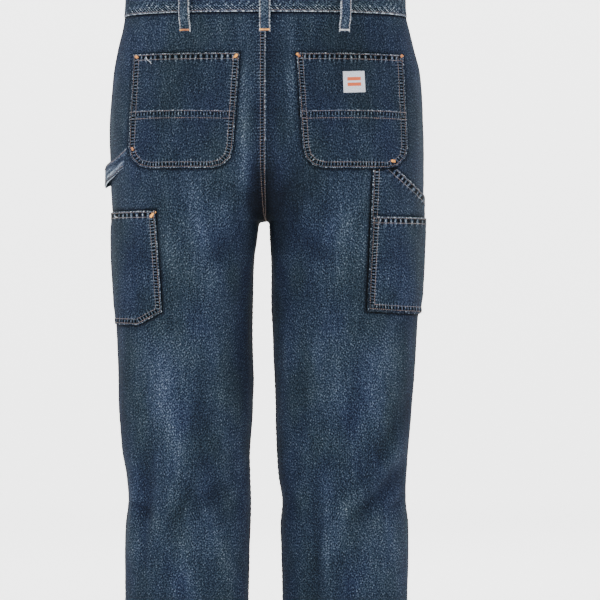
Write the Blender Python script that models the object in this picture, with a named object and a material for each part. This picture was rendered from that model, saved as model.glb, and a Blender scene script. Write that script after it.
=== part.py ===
"""Carpenter pants: hollow cloth walls in the pose of someone standing, seen best from behind.

Metres, +Z up. The origin is the middle of the waistband ring. The seat faces -Y, so the left leg
is at -X. Every cloth piece is a thin wall of its own, 0.3 mm from its neighbours at the seams, and
what is sewn on a panel is made from that panel's own points, moved out.
"""

import math
from collections import namedtuple

import bmesh
import bpy
import numpy as np
from mathutils import Vector

# Cloth thicknesses and the clearances between pieces
SEAM_GAP = 0.0003
DENIM = 0.0014
POCKET_DENIM = 0.0013
LABEL_CLOTH = 0.0010
HEM_STEP = 0.0009
# Edges that turn more than this are shaded sharp
SHARP_ANGLE = math.radians(40)
# A point nearer than this to a cutting plane lies on it
ON_PLANE = 1e-7

# Heights of the main lines of the cut
WAISTBAND_HALF = 0.021
WAIST_SEAM = -WAISTBAND_HALF
CROTCH = -0.316
HEM = -1.130
HEM_BAND = 0.014
# The waist lies this much lower at the front; the dip ends at a height, and is full at this depth
FRONT_DIP = 0.020
DIP_END = -0.150
DIP_FULL = 0.095

# How far round the side the outseam lies, in front of the side-most point
OUTSEAM_FORWARD = 0.012
# The inside of each leg opens from the crotch in a flat arch of this height, sharpest at its tip
ARCH_HEIGHT = 0.0016
ARCH_BLEND = 0.090
ARCH_TIP = 4
# The seat seam and the fly seam curve under from this height down to the crotch
RISE_BEND = -0.190
RISE_POWER = 2.3
# The seat rounds into the legs between these distances above the crotch
SEAT_ROUNDING = (0.012, 0.110)

# Squareness of the rings: 2 is an ellipse
TORSO_POWER = 2.25
LEG_POWER = 2.1

BACK_COLUMNS = 13
FRONT_COLUMNS = 11
ARC_STEPS = 26
# This near the crotch, only this inner share of the columns moves with the seam
CROTCH_REACH = 0.060
INNER_SHARE = 0.30
# The panels' rows: their numbers above and below the crotch, and those close to it
ROWS_ABOVE = 10
ROWS_BELOW = 21
NEAR_CROTCH = (0.030, 0.014, 0.006, 0.002, 0.0, -0.002, -0.006, -0.014)
CROTCH_MARGINS = (0.052, 0.034)
HEM_MARGIN = 0.020
HEM_EDGE = 0.0004
# The overlap of the fly: how far it stands up, how wide its slope is, and where it ends
FLY_RAISE = 0.0019
FLY_WIDTH = 0.018
FLY_FLAT = 0.004
FLY_END = -0.190
FLY_FADE = 0.030

# One row for each level of the body: half-widths from the centre plane, depths of the back and the
# front, the y of the side-most and inside-most points, the share of the half-width at which the back
# and the front are fullest, and the y of the seat seam and the fly seam.
Level = namedtuple(
    "Level",
    "z left_out left_in right_in right_out back front mid full_back full_front seat fly",
)
LEVELS = (
    Level(0.021, 0.2027, 0.015, 0.005, 0.2000, -0.0915, 0.0925, 0.000, 0.00, 0.00, -0.0915, 0.0925),
    Level(-0.021, 0.2050, 0.015, 0.005, 0.2025, -0.0935, 0.0950, 0.000, 0.04, 0.00, -0.0935, 0.0950),
    Level(-0.068, 0.2153, 0.015, 0.005, 0.2139, -0.1060, 0.1010, 0.000, 0.20, 0.00, -0.1040, 0.1010),
    Level(-0.104, 0.2211, 0.015, 0.005, 0.2226, -0.1170, 0.1050, 0.000, 0.32, 0.00, -0.1120, 0.1050),
    Level(-0.176, 0.2255, 0.015, 0.005, 0.2269, -0.1360, 0.1100, -0.002, 0.43, 0.18, -0.1240, 0.1060),
    Level(-0.249, 0.2250, 0.015, 0.005, 0.2270, -0.1400, 0.1100, -0.004, 0.47, 0.38, -0.1250, 0.1020),
    Level(-0.316, 0.2228, 0.015, 0.005, 0.2262, -0.1210, 0.1060, -0.004, 0.51, 0.50, -0.1220, 0.1000),
    Level(-0.394, 0.2224, 0.0196, 0.0080, 0.2234, -0.1050, 0.1010, -0.002, 0.53, 0.53, -0.12, 0.10),
    Level(-0.466, 0.2182, 0.0210, 0.0094, 0.2197, -0.0970, 0.0970, 0.000, 0.54, 0.54, -0.12, 0.10),
    Level(-0.575, 0.2139, 0.0200, 0.0135, 0.2124, -0.0890, 0.0900, 0.000, 0.55, 0.55, -0.12, 0.10),
    Level(-0.648, 0.2093, 0.0252, 0.0155, 0.2066, -0.0820, 0.0860, 0.001, 0.56, 0.56, -0.12, 0.10),
    Level(-0.684, 0.2037, 0.0254, 0.0181, 0.2037, -0.0785, 0.0845, 0.002, 0.56, 0.56, -0.12, 0.10),
    Level(-0.720, 0.2003, 0.0240, 0.0239, 0.2020, -0.0755, 0.0825, 0.002, 0.56, 0.56, -0.12, 0.10),
    Level(-0.756, 0.2040, 0.0242, 0.0212, 0.2052, -0.0760, 0.0790, 0.000, 0.56, 0.56, -0.12, 0.10),
    Level(-0.829, 0.2053, 0.0266, 0.0236, 0.2053, -0.0775, 0.0700, -0.004, 0.57, 0.57, -0.12, 0.10),
    Level(-1.000, 0.2030, 0.0290, 0.0250, 0.2010, -0.0765, 0.0580, -0.010, 0.57, 0.57, -0.12, 0.10),
    Level(-1.130, 0.2008, 0.0312, 0.0268, 0.1985, -0.0750, 0.0510, -0.012, 0.57, 0.57, -0.12, 0.10),
)

# The largest folds, each a soft trough (negative depth) or ridge along a line from (x0, z0) to
# (x1, z1), on the back (-1) or the front (+1).
Fold = namedtuple("Fold", "face x0 z0 x1 z1 width depth")
FOLDS = (
    Fold(-1, -0.166, -0.600, -0.177, -0.810, 0.0110, -0.0060),
    Fold(-1, -0.193, -0.640, -0.194, -0.800, 0.0090, 0.0030),
    Fold(-1, 0.196, -0.680, 0.112, -0.752, 0.0130, -0.0070),
    Fold(-1, 0.190, -0.648, 0.120, -0.700, 0.0130, 0.0030),
    Fold(-1, -0.045, -0.690, -0.120, -0.735, 0.0130, -0.0050),
    Fold(-1, -0.035, -0.335, -0.085, -0.385, 0.0120, -0.0050),
    Fold(-1, 0.028, -0.330, 0.090, -0.372, 0.0120, -0.0050),
    Fold(1, -0.040, -0.318, -0.150, -0.262, 0.0140, -0.0060),
    Fold(1, 0.036, -0.322, 0.142, -0.254, 0.0140, -0.0060),
    Fold(1, -0.052, -0.352, -0.135, -0.335, 0.0130, -0.0045),
    Fold(1, 0.050, -0.356, 0.150, -0.330, 0.0130, -0.0045),
    Fold(1, -0.185, -0.742, -0.075, -0.770, 0.0140, -0.0060),
    Fold(1, 0.188, -0.736, 0.080, -0.764, 0.0140, -0.0060),
    Fold(1, -0.150, -0.905, -0.120, -1.080, 0.0150, -0.0050),
    Fold(1, 0.155, -0.890, 0.118, -1.060, 0.0150, -0.0050),
)
# A fold keeps this share of its depth at its ends, and fades out between these depths near the side
FOLD_END_SHARE = 0.35
FOLD_FADE = (0.010, 0.040)

# Back pockets: their centres across the seat and the way they lean, outwards, towards the bottom
POCKET_TOP = -0.0815
POCKET_TOP_WIDTH = 0.1510
POCKET_WIDTH = 0.1465
POCKET_HEIGHT = 0.1632
POCKET_LEAN = 0.0070
POCKET_CORNER = 0.030
POCKET_CROSS_SEAM = -0.1707
Pocket = namedtuple("Pocket", "side centre")
BACK_POCKETS = {"left": Pocket(-1, -0.1122), "right": Pocket(1, 0.1193)}

# Thigh pockets, as outlines of (x, z); past the side they run on to the outseam
PAST_SIDE = 0.245
TOOL_POCKET_LEFT = (
    (-0.1553, -0.3040), (-0.1470, -0.4470), (-0.1808, -0.4655), (-PAST_SIDE, -0.4640), (-PAST_SIDE, -0.3040),
)
UTILITY_POCKET = (
    (0.1512, -0.2457), (0.1845, -0.2457), (0.2278, -0.2815), (PAST_SIDE, -0.2990), (PAST_SIDE, -0.4520),
    (0.1435, -0.4456),
)
TOOL_POCKET_RIGHT = (
    (0.1500, -0.3117), (PAST_SIDE, -0.3120), (PAST_SIDE, -0.4500), (0.1446, -0.4438),
)

# Front pocket mouths: a scoop from the waist seam down to the outseam
MOUTH = ((0.112, -0.015), (0.1165, -0.062), (0.134, -0.090), (0.168, -0.1075), (0.245, -0.1110))
FACING_TUCK = 0.012

# Belt loops: their x, on the back (-1) or the front (+1), and the run of the band, as heights and
# the distance of its inner face from the cloth
Loop = namedtuple("Loop", "name x face")
BELT_LOOPS = (
    Loop("belt_loop_back_centre", -0.0014, -1),
    Loop("belt_loop_back_left", -0.1141, -1),
    Loop("belt_loop_back_right", 0.1115, -1),
    Loop("belt_loop_front_left", -0.0900, 1),
    Loop("belt_loop_front_right", 0.0900, 1),
)
LOOP_WIDTH = 0.0158
LOOP_CLOTH = 0.0020
LOOP_RUN = (
    (-0.0500, 0.0006), (-0.0420, 0.0006), (-0.0360, 0.0032), (-0.0300, 0.0065), (-0.0180, 0.0083),
    (0.0020, 0.0085), (0.0115, 0.0072), (0.0175, 0.0037), (0.0205, 0.0018),
)

# Waistband: folded double, a little proud of the panels, its left end lapped over its right end
BAND_CLOTH = 0.0024
BAND_PROUD = 0.0010
BAND_LAP = 0.019
LAP_RAISE = 0.0028
BUTTON_RADIUS = 0.0085
BUTTON_HEIGHT = 0.0040
BUTTON_GAP = 0.0005
BUTTON_ROUNDING = 0.0012

# Label on the right back pocket: centre, size and tilt
LABEL_CENTRE = (0.1241, -0.1237)
LABEL_SIZE = (0.0300, 0.0305)
LABEL_TILT = math.radians(-2.5)

# Hammer loop: stations of the band's centre line, with the direction across its width
LoopStation = namedtuple("LoopStation", "x y z across_x across_y across_z")
HAMMER_LOOP = (
    LoopStation(-0.1985, -0.0982, -0.2290, 0.20, -0.22, 1.0),
    LoopStation(-0.2050, -0.0887, -0.2330, 0.22, -0.32, 1.0),
    LoopStation(-0.2127, -0.0786, -0.2400, 0.18, -0.25, 1.0),
    LoopStation(-0.2233, -0.0588, -0.2465, 0.12, -0.15, 1.0),
    LoopStation(-0.2294, -0.0389, -0.2515, 0.04, -0.05, 1.0),
    LoopStation(-0.2312, -0.0200, -0.2540, 0.00, 0.00, 1.0),
    LoopStation(-0.2310, -0.0060, -0.2530, 0.00, 0.00, 1.0),
    LoopStation(-0.2288, 0.0040, -0.2510, 0.00, 0.00, 1.0),
    LoopStation(-0.2249, 0.0110, -0.2490, 0.00, 0.00, 1.0),
)
HAMMER_WIDTH = 0.029
HAMMER_CLOTH = 0.0016


def read(z, column):
    """A column of the level table at height z, on a smooth curve through the rows."""
    heights = [row.z for row in LEVELS]
    values = [getattr(row, column) for row in LEVELS]
    z = min(max(z, heights[-1]), heights[0])
    last = len(heights) - 1
    i = next(k for k in range(last) if z >= heights[k + 1])
    span = heights[i + 1] - heights[i]
    t = (z - heights[i]) / span

    def slope(k):
        low = max(k - 1, 0)
        high = min(k + 1, last)
        return (values[high] - values[low]) / (heights[high] - heights[low])

    t2 = t * t
    t3 = t2 * t
    return (
        (2 * t3 - 3 * t2 + 1) * values[i]
        + (t3 - 2 * t2 + t) * span * slope(i)
        + (3 * t2 - 2 * t3) * values[i + 1]
        + (t3 - t2) * span * slope(i + 1)
    )


def eased(value, low, high):
    """0 at low, 1 at high, with a soft start and end."""
    t = min(max((value - low) / (high - low), 0.0), 1.0)
    return t * t * (3 - 2 * t)


def ring_power(z):
    return LEG_POWER + (TORSO_POWER - LEG_POWER) * eased(z, -0.45, -0.20)


def rise_share(z):
    """How much of its depth the seat or fly seam still has at height z: 1 above the bend, 0 at the crotch."""
    down = min(max((RISE_BEND - z) / (RISE_BEND - CROTCH), 0.0), 1.0)
    return (1 - down**RISE_POWER) ** (1 / RISE_POWER)


def quarter(full, end, mid, reach, power, turns, last=math.pi / 2):
    """Part of a superellipse, from its fullest point (full, reach) to x = end, as (x, y) rows."""
    angle = turns * last
    along = (np.sin(angle) / math.sin(last)) ** (2 / power)
    down = np.maximum(np.cos(angle), 0) ** (2 / power)
    return np.stack([full + (end - full) * along, mid + (reach - mid) * down], axis=1)


def inner_stretch(z, full, inside, mid, reach, seam, power, turns):
    """From the fullest point to the seat or fly seam above the crotch, or to the inseam below it, where
    only the tip opens at once and the rest of the thigh draws in over a hand's breadth."""
    if z <= CROTCH:
        arch = 1 - math.exp(-(CROTCH - z) / ARCH_HEIGHT)
        drawn_in = eased(CROTCH - z, 0.0, ARCH_BLEND)
        end = inside * (drawn_in + (arch - drawn_in) * turns**ARCH_TIP)
        return quarter(full, end, mid, reach, power, turns)
    depth = mid + (seam - mid) * rise_share(z)
    share = min(max((depth - mid) / (reach - mid), 0.0), 1.0)
    last = max(math.acos(share ** (power / 2)), 0.02)
    arc = quarter(full, 0.0, mid, reach, power, turns, last)
    wave = (1 - np.cos(math.pi * turns)) / 2
    bridge = np.stack([full * (1 - turns), reach + (depth - reach) * wave], axis=1)
    near_crotch = 1 - eased(z - CROTCH, *SEAT_ROUNDING)
    return bridge + (arc - bridge) * near_crotch


def half_ring(side, z):
    """One leg's section at height z: (x, y) from the seat seam or inseam round the back, the side and the
    front, and the arc length at its side-most point."""
    left = side < 0
    outside = read(z, "left_out" if left else "right_out")
    inside = read(z, "left_in" if left else "right_in")
    mid = read(z, "mid")
    power = ring_power(z)
    turns = np.linspace(0, 1, ARC_STEPS)
    halves = []
    for reach, full, seam in (("back", "full_back", "seat"), ("front", "full_front", "fly")):
        depth = read(z, reach)
        widest = read(z, full) * outside
        inner = inner_stretch(z, widest, inside, mid, depth, read(z, seam), power, turns)
        outer = quarter(widest, outside, mid, depth, power, turns)
        halves.append(np.concatenate([inner[::-1], outer[1:]]))
    back, front = halves
    ring = np.concatenate([back, front[::-1][1:]])
    ring[:, 0] *= side
    steps = np.linalg.norm(np.diff(ring, axis=0), axis=1)
    length = np.concatenate([[0.0], np.cumsum(steps)])
    return ring, length, length[len(back) - 1]


def panel_length(side, z):
    """The arc from the seat seam or inseam round the back to the outseam, and the ring it lies on."""
    ring, length, side_most = half_ring(side, z)
    outseam = side_most + OUTSEAM_FORWARD
    return np.array([outseam, length[-1] - outseam]), ring, length


def ring_columns(side, z):
    """The panels' columns on one leg's ring at height z, as (x, y) from the seat seam to the fly.

    Close to the crotch the ring grows fast at its inner end alone, so there the columns keep an even
    length that changes slowly, measured from the outseam, and the innermost ones take up the rest.
    """
    panels, ring, length = panel_length(side, z)
    even = panels
    if abs(z - CROTCH) < CROTCH_REACH:
        above = panel_length(side, CROTCH + CROTCH_REACH)[0]
        below = panel_length(side, CROTCH - CROTCH_REACH)[0]
        even = above + (below - above) * eased(CROTCH - z, -CROTCH_REACH, CROTCH_REACH)
    places = []
    for actual, steady, columns in zip(panels, even, (BACK_COLUMNS, FRONT_COLUMNS)):
        share = np.linspace(0, 1, columns)
        from_inside = actual - (1 - share) * steady
        nearest = actual - (1 - INNER_SHARE) * steady
        places.append(np.where(share < INNER_SHARE, share / INNER_SHARE * nearest, from_inside))
    line = np.concatenate([places[0], length[-1] - places[1][::-1][1:]])
    return np.stack([np.interp(line, length, ring[:, axis]) for axis in (0, 1)], axis=1)


def panel_heights():
    """The heights of the panels' rows: even steps, closer at the crotch and at the hem's fold."""
    fold = HEM + HEM_BAND
    above = list(np.linspace(WAIST_SEAM - SEAM_GAP / 2, CROTCH + CROTCH_MARGINS[0], ROWS_ABOVE))
    near = [CROTCH + step for step in NEAR_CROTCH]
    below = list(np.linspace(CROTCH - CROTCH_MARGINS[1], fold + HEM_MARGIN, ROWS_BELOW))
    return above + near + below + [fold + HEM_EDGE, fold, HEM]


def front_dip(z, y):
    """How much lower than at the back the cloth of height z lies at depth y."""
    return FRONT_DIP * eased(z, DIP_END, WAIST_SEAM) * eased(y, 0.0, DIP_FULL)


def fold_depth(x, y, z):
    """The height of all the folds at a point of the cloth."""
    height = 0.0
    for fold in FOLDS:
        if y * fold.face <= 0:
            continue
        across_x = fold.x1 - fold.x0
        across_z = fold.z1 - fold.z0
        length2 = across_x**2 + across_z**2
        t = ((x - fold.x0) * across_x + (z - fold.z0) * across_z) / length2
        nearest = min(max(t, 0.0), 1.0)
        off = math.hypot(x - fold.x0 - nearest * across_x, z - fold.z0 - nearest * across_z)
        swell = FOLD_END_SHARE + (1 - FOLD_END_SHARE) * math.sin(math.pi * nearest)
        height += fold.depth * swell * math.exp(-((off / fold.width) ** 2)) * eased(abs(y), *FOLD_FADE)
    return height


def fly_raise(side, x, y, z):
    """The left front laps over the right one at the fly, so its edge stands proud."""
    if side > 0 or y < 0:
        return 0.0
    return FLY_RAISE * eased(-abs(x), -FLY_WIDTH, -FLY_FLAT) * eased(z, FLY_END - FLY_FADE, FLY_END)


def directions(points, side, heights):
    """Outward directions of a leg's grid, shared by the panels on both sides of each seam."""
    around = np.empty_like(points)
    around[:, 1:-1] = points[:, 2:] - points[:, :-2]
    around[:, 0] = points[:, 1] - points[:, 0]
    around[:, -1] = points[:, -1] - points[:, -2]
    closed = np.array(heights) <= CROTCH
    around[closed, 0] = points[closed, 1] - points[closed, -2]
    around[closed, -1] = around[closed, 0]
    down = np.empty_like(points)
    down[1:-1] = points[2:] - points[:-2]
    down[0] = points[1] - points[0]
    down[-1] = points[-1] - points[-2]
    outward = np.cross(around, down) * -side
    for edge in (0, -1):
        inwards = outward[~closed, edge, 0] * side
        outward[~closed, edge, 0] = np.where(inwards > 0, 0.0, outward[~closed, edge, 0])
    return outward / np.linalg.norm(outward, axis=2, keepdims=True)


def leg_grid(side):
    """Points and outward directions of a whole leg, back columns first, and the hem's extra thickness."""
    heights = panel_heights()
    points = np.empty((len(heights), BACK_COLUMNS + FRONT_COLUMNS - 1, 3))
    for i, z in enumerate(heights):
        points[i, :, :2] = ring_columns(side, z)
        points[i, :, 2] = [z - front_dip(z, y) for y in points[i, :, 1]]
    outward = directions(points, side, heights)
    raised = points.copy()
    for i, z in enumerate(heights):
        for j in range(points.shape[1]):
            x, y, level = points[i, j]
            height = fold_depth(x, y, level) + fly_raise(side, x, y, z)
            raised[i, j] += outward[i, j] * height
    outward = directions(raised, side, heights)
    for i, z in enumerate(heights):
        if z <= HEM + HEM_BAND:
            raised[i] += outward[i] * HEM_STEP
    return raised, outward, heights


def parted(points, edge, inner):
    """An edge column moved half a seam's gap towards its neighbour."""
    along = points[:, inner] - points[:, edge]
    along /= np.linalg.norm(along, axis=1, keepdims=True)
    points[:, edge] += along * SEAM_GAP / 2


def leg_panels(side):
    """The back and front sheets of one leg, parted at the outseam and the inseam or rise."""
    points, outward, heights = leg_grid(side)
    split = BACK_COLUMNS - 1
    sheets = []
    for columns in (slice(0, split + 1), slice(split, None)):
        cloth = points[:, columns].copy()
        parted(cloth, 0, 1)
        parted(cloth, -1, -2)
        above = np.array(heights) >= CROTCH
        edge = 0 if columns.start == 0 else -1
        cloth[above, edge, 0] = side * SEAM_GAP / 2
        sheets.append((cloth, outward[:, columns].copy()))
    return sheets


def sheet(points, outward):
    """A triangulated sheet through a grid of points, with its outward directions kept on its vertices."""
    rows, columns = points.shape[:2]
    bm = bmesh.new()
    bmesh.ops.create_grid(bm, x_segments=columns - 1, y_segments=rows - 1, size=1.0)
    layer = bm.verts.layers.float_vector.new("outward")
    bm.verts.ensure_lookup_table()
    for i in range(rows):
        for j in range(columns):
            vert = bm.verts[i * columns + j]
            vert.co = Vector(points[i, j].tolist())
            vert[layer] = Vector(outward[i, j].tolist())
    bmesh.ops.triangulate(bm, faces=list(bm.faces), quad_method="FIXED")
    return bm


def everything(bm):
    return list(bm.verts) + list(bm.edges) + list(bm.faces)


def outline_planes(corners, grow=0.0):
    """The planes of a convex outline of (x, z) corners, facing out, moved out by grow."""
    middle = sum((Vector((x, 0.0, z)) for x, z in corners), Vector()) / len(corners)
    planes = []
    for (x0, z0), (x1, z1) in zip(corners, corners[1:] + corners[:1]):
        start = Vector((x0, 0.0, z0))
        out = Vector((z1 - z0, 0.0, x0 - x1)).normalized()
        if out.dot(middle - start) > 0:
            out.negate()
        planes.append((start + out * grow, out))
    return planes


def trim(bm, planes):
    """Keeps what lies inside all the planes."""
    for point, out in planes:
        bmesh.ops.bisect_plane(
            bm, geom=everything(bm), plane_co=point, plane_no=out, clear_outer=True, dist=ON_PLANE
        )
    return bm


def within(face, planes):
    middle = face.calc_center_median()
    return all((middle - point).dot(out) < 0 for point, out in planes)


def cut_out(bm, planes):
    """Removes what lies inside all the planes, and scores only the faces near them."""
    inside = list(bm.faces)
    for count, (point, out) in enumerate(planes, start=1):
        near = set(inside)
        for face in inside:
            near.update(face.edges)
            near.update(face.verts)
        bmesh.ops.bisect_plane(bm, geom=list(near), plane_co=point, plane_no=out, dist=ON_PLANE)
        inside = [face for face in bm.faces if within(face, planes[:count])]
    bmesh.ops.delete(bm, geom=inside, context="FACES")
    return bm


def material(name, hexcode, roughness, metallic=0.0):
    made = bpy.data.materials.get(name)
    if made:
        return made
    made = bpy.data.materials.new(name)
    made.use_nodes = True
    shader = made.node_tree.nodes["Principled BSDF"]
    channels = [int(hexcode[i : i + 2], 16) / 255 for i in (0, 2, 4)]
    linear = [c / 12.92 if c <= 0.04045 else ((c + 0.055) / 1.055) ** 2.4 for c in channels]
    shader.inputs["Base Color"].default_value = (*linear, 1.0)
    shader.inputs["Roughness"].default_value = roughness
    shader.inputs["Metallic"].default_value = metallic
    return made


def denim():
    return material("denim", "3A4A5C", 0.85)


def add(name, bm, finish):
    """A closed bmesh as a smooth-shaded object."""
    bmesh.ops.recalc_face_normals(bm, faces=list(bm.faces))
    mesh = bpy.data.meshes.new(name)
    bm.to_mesh(mesh)
    bm.free()
    mesh.shade_smooth()
    mesh.set_sharp_from_angle(angle=SHARP_ANGLE)
    mesh.materials.append(finish)
    thing = bpy.data.objects.new(name, mesh)
    bpy.context.scene.collection.objects.link(thing)
    return thing


def wall(name, bm, low, high, finish):
    """A sheet as a closed wall, from low to high along its outward directions."""
    made = bmesh.ops.extrude_face_region(bm, geom=list(bm.faces), use_keep_orig=True)
    top = {item for item in made["geom"] if isinstance(item, bmesh.types.BMVert)}
    layer = bm.verts.layers.float_vector["outward"]
    for vert in bm.verts:
        vert.co = vert.co + vert[layer].normalized() * (high if vert in top else low)
    bmesh.ops.triangulate(bm, faces=list(bm.faces))
    return add(name, bm, finish)


def on_cloth(layers):
    """The lowest and highest distance of the nth layer of pocket cloth sewn on a panel."""
    low = SEAM_GAP + layers * (POCKET_DENIM + SEAM_GAP)
    return low, low + POCKET_DENIM


def pocket_outline(pocket):
    """A back pocket: straight sides that lean outwards and round lower corners."""
    lean = POCKET_LEAN * pocket.side
    bottom = POCKET_TOP - POCKET_HEIGHT
    corners = [
        (pocket.centre + POCKET_TOP_WIDTH / 2, POCKET_TOP),
        (pocket.centre - POCKET_TOP_WIDTH / 2, POCKET_TOP),
    ]
    middle = pocket.centre + lean
    for turn in (180, 210, 240, 270, 300, 330, 360):
        hand = -1 if turn <= 270 else 1
        if turn == 270:
            corners.append((middle - POCKET_WIDTH / 2 + POCKET_CORNER, bottom))
            hand = 1
        across = POCKET_CORNER * math.cos(math.radians(turn))
        up = POCKET_CORNER * (1 + math.sin(math.radians(turn)))
        corners.append((middle + hand * (POCKET_WIDTH / 2 - POCKET_CORNER) + across, bottom + up))
    return corners


def lap_point(side, z):
    """Where the end of the waistband lies, a little past the centre front."""
    ring, length, _ = half_ring(side, z)
    return [np.interp(length[-1] - BAND_LAP, length, ring[:, axis]) for axis in (0, 1)]


def waistband():
    """A strip that starts under its own far end, left of the front centre, and runs round by the right."""
    heights = (WAIST_SEAM + SEAM_GAP / 2, 0.0, WAISTBAND_HALF)
    rows = []
    for z in heights:
        right = ring_columns(1, z)[::-1].tolist()
        left = ring_columns(-1, z).tolist()
        right[0][0] = 0.0
        near = [lap_point(-1, z), right[0], lap_point(1, z), right[1]]
        rows.append([left[-2]] + near + right[2:-1] + [[0.0, left[0][1]]] + left[1:-1] + near)
    line = np.array(rows)
    along = line[:, 2:] - line[:, :-2]
    points = np.zeros((len(heights), line.shape[1] - 2, 3))
    outward = np.zeros_like(points)
    outward[:, :, 0] = -along[:, :, 1]
    outward[:, :, 1] = along[:, :, 0]
    outward /= np.linalg.norm(outward, axis=2, keepdims=True)
    facing = np.sign((outward[:, :, :2] * line[:, 1:-1]).sum(axis=2, keepdims=True))
    outward *= facing
    # The last three columns lie over the first three, and the two before them rise to that
    raised = np.zeros(points.shape[1])
    raised[-4:] = LAP_RAISE
    raised[-5] = LAP_RAISE / 2
    points[:, :, :2] = line[:, 1:-1] + outward[:, :, :2] * raised[None, :, None]
    for i, z in enumerate(heights):
        points[i, :, 2] = [z - FRONT_DIP * eased(y, 0.0, DIP_FULL) for y in line[i, 1:-1, 1]]
    return sheet(points[::-1], outward[::-1])


def band_of_stations(name, centres, acrosses, outs, width, thickness, finish):
    """A flat band through stations: each has a centre on its inner face, a direction across and one out."""
    bm = bmesh.new()
    rings = []
    for centre, across, out in zip(centres, acrosses, outs):
        half = across * width / 2
        outer = centre + out * thickness
        corners = (centre - half, centre + half, outer + half, outer - half)
        rings.append([bm.verts.new(corner) for corner in corners])
    for first, second in zip(rings, rings[1:]):
        for k in range(4):
            bm.faces.new((first[k], first[(k + 1) % 4], second[(k + 1) % 4], second[k]))
    bm.faces.new(rings[0])
    bm.faces.new(rings[-1])
    bmesh.ops.triangulate(bm, faces=list(bm.faces))
    return add(name, bm, finish)


def body_line(z, face):
    """The back (-1) or front (+1) of the body's ring at height z, as (x, y) from left to right."""
    ring = np.concatenate([half_ring(-1, z)[0], half_ring(1, z)[0]])
    ring = ring[ring[:, 1] * face > 0]
    return ring[np.argsort(ring[:, 0])]


def belt_loop(loop):
    """A folded band from the top of the waistband to below the waist seam, bowed out for a belt."""

    def cloth_y(x, z):
        line = body_line(z, loop.face)
        return float(np.interp(x, line[:, 0], line[:, 1]))

    half = LOOP_WIDTH / 2
    rise = cloth_y(loop.x + half, 0.0) - cloth_y(loop.x - half, 0.0)
    across = Vector((LOOP_WIDTH, rise, 0.0)).normalized()
    out = Vector((-across.y, across.x, 0.0)) * loop.face
    centres = []
    for z, off in LOOP_RUN:
        y = cloth_y(loop.x, z)
        centres.append(Vector((loop.x, y, z - front_dip(max(z, WAIST_SEAM), y))) + out * off)
    outs = []
    for k in range(len(centres)):
        run = centres[min(k + 1, len(centres) - 1)] - centres[max(k - 1, 0)]
        square = across.cross(run).normalized() * -loop.face
        outs.append((square + out).normalized())
    acrosses = [across] * len(centres)
    band_of_stations(loop.name, centres, acrosses, outs, LOOP_WIDTH, LOOP_CLOTH, denim())


def hammer_loop():
    """A slack band from the corner of the left back pocket out past the side, to the outseam."""
    centres = [Vector((s.x, s.y, s.z)) for s in HAMMER_LOOP]
    acrosses = [Vector((s.across_x, s.across_y, s.across_z)).normalized() for s in HAMMER_LOOP]
    outs = []
    for k in range(len(centres)):
        run = centres[min(k + 1, len(centres) - 1)] - centres[max(k - 1, 0)]
        outs.append(acrosses[k].cross(run).normalized())
    band_of_stations("hammer_loop", centres, acrosses, outs, HAMMER_WIDTH, HAMMER_CLOTH, denim())


def button():
    """A plain shank button, square to the lapped end of the leaning waistband."""
    low, middle, high = (half_ring(1, z)[0][-1][1] for z in (WAIST_SEAM, 0.0, WAISTBAND_HALF))
    lean = math.atan((low - high) / (2 * WAISTBAND_HALF))
    face = middle + BAND_PROUD + LAP_RAISE + BUTTON_GAP
    bm = bmesh.new()
    bmesh.ops.create_cone(
        bm, cap_ends=True, segments=20, radius1=BUTTON_RADIUS, radius2=BUTTON_RADIUS, depth=BUTTON_HEIGHT
    )
    rim = [edge for edge in bm.edges if all(vert.co.z > 0 for vert in edge.verts)]
    bmesh.ops.bevel(bm, geom=rim, offset=BUTTON_ROUNDING, segments=2, profile=0.5, affect="EDGES")
    thing = add("waist_button", bm, material("brass", "8A6A3C", 0.35, 1.0))
    thing.rotation_euler = (math.radians(-90) + lean, 0.0, 0.0)
    thing.location = (0.0, face + BUTTON_HEIGHT / 2, -FRONT_DIP)


def label(bm):
    """The label's sheet, cut from the cloth under it."""
    wide, tall = (size / 2 for size in LABEL_SIZE)
    corners = []
    for x, z in ((-wide, -tall), (wide, -tall), (wide, tall), (-wide, tall)):
        corners.append(
            (
                LABEL_CENTRE[0] + x * math.cos(LABEL_TILT) + z * math.sin(LABEL_TILT),
                LABEL_CENTRE[1] - x * math.sin(LABEL_TILT) + z * math.cos(LABEL_TILT),
            )
        )
    return trim(bm, outline_planes(tuple(corners)))


for thing in list(bpy.data.objects):
    bpy.data.objects.remove(thing)

panels = {}
for side, name in ((-1, "left"), (1, "right")):
    back, front = leg_panels(side)
    panels[name] = back
    wall("back_" + name, sheet(*back), -DENIM, 0.0, denim())
    mouth = [(side * x, z) for x, z in MOUTH]
    opening = outline_planes(tuple(mouth + [(side * PAST_SIDE, MOUTH[0][1])]))[: len(MOUTH) - 1]
    wall("front_" + name, cut_out(sheet(*front), opening), -DENIM, 0.0, denim())
    tucked = [(point + out * FACING_TUCK, out) for point, out in opening]
    wall(
        "front_pocket_facing_" + name,
        trim(sheet(*front), tucked),
        -DENIM - SEAM_GAP - POCKET_DENIM,
        -DENIM - SEAM_GAP,
        denim(),
    )
    outline = outline_planes(tuple(pocket_outline(BACK_POCKETS[name])))
    seam = Vector((0.0, 0.0, POCKET_CROSS_SEAM))
    gap = Vector((0.0, 0.0, SEAM_GAP / 2))
    up = Vector((0.0, 0.0, 1.0))
    for half, plane in (("upper", (seam + gap, -up)), ("lower", (seam - gap, up))):
        piece = trim(sheet(*back), outline + [plane])
        wall("back_pocket_" + name + "_" + half, piece, *on_cloth(0), denim())

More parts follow.
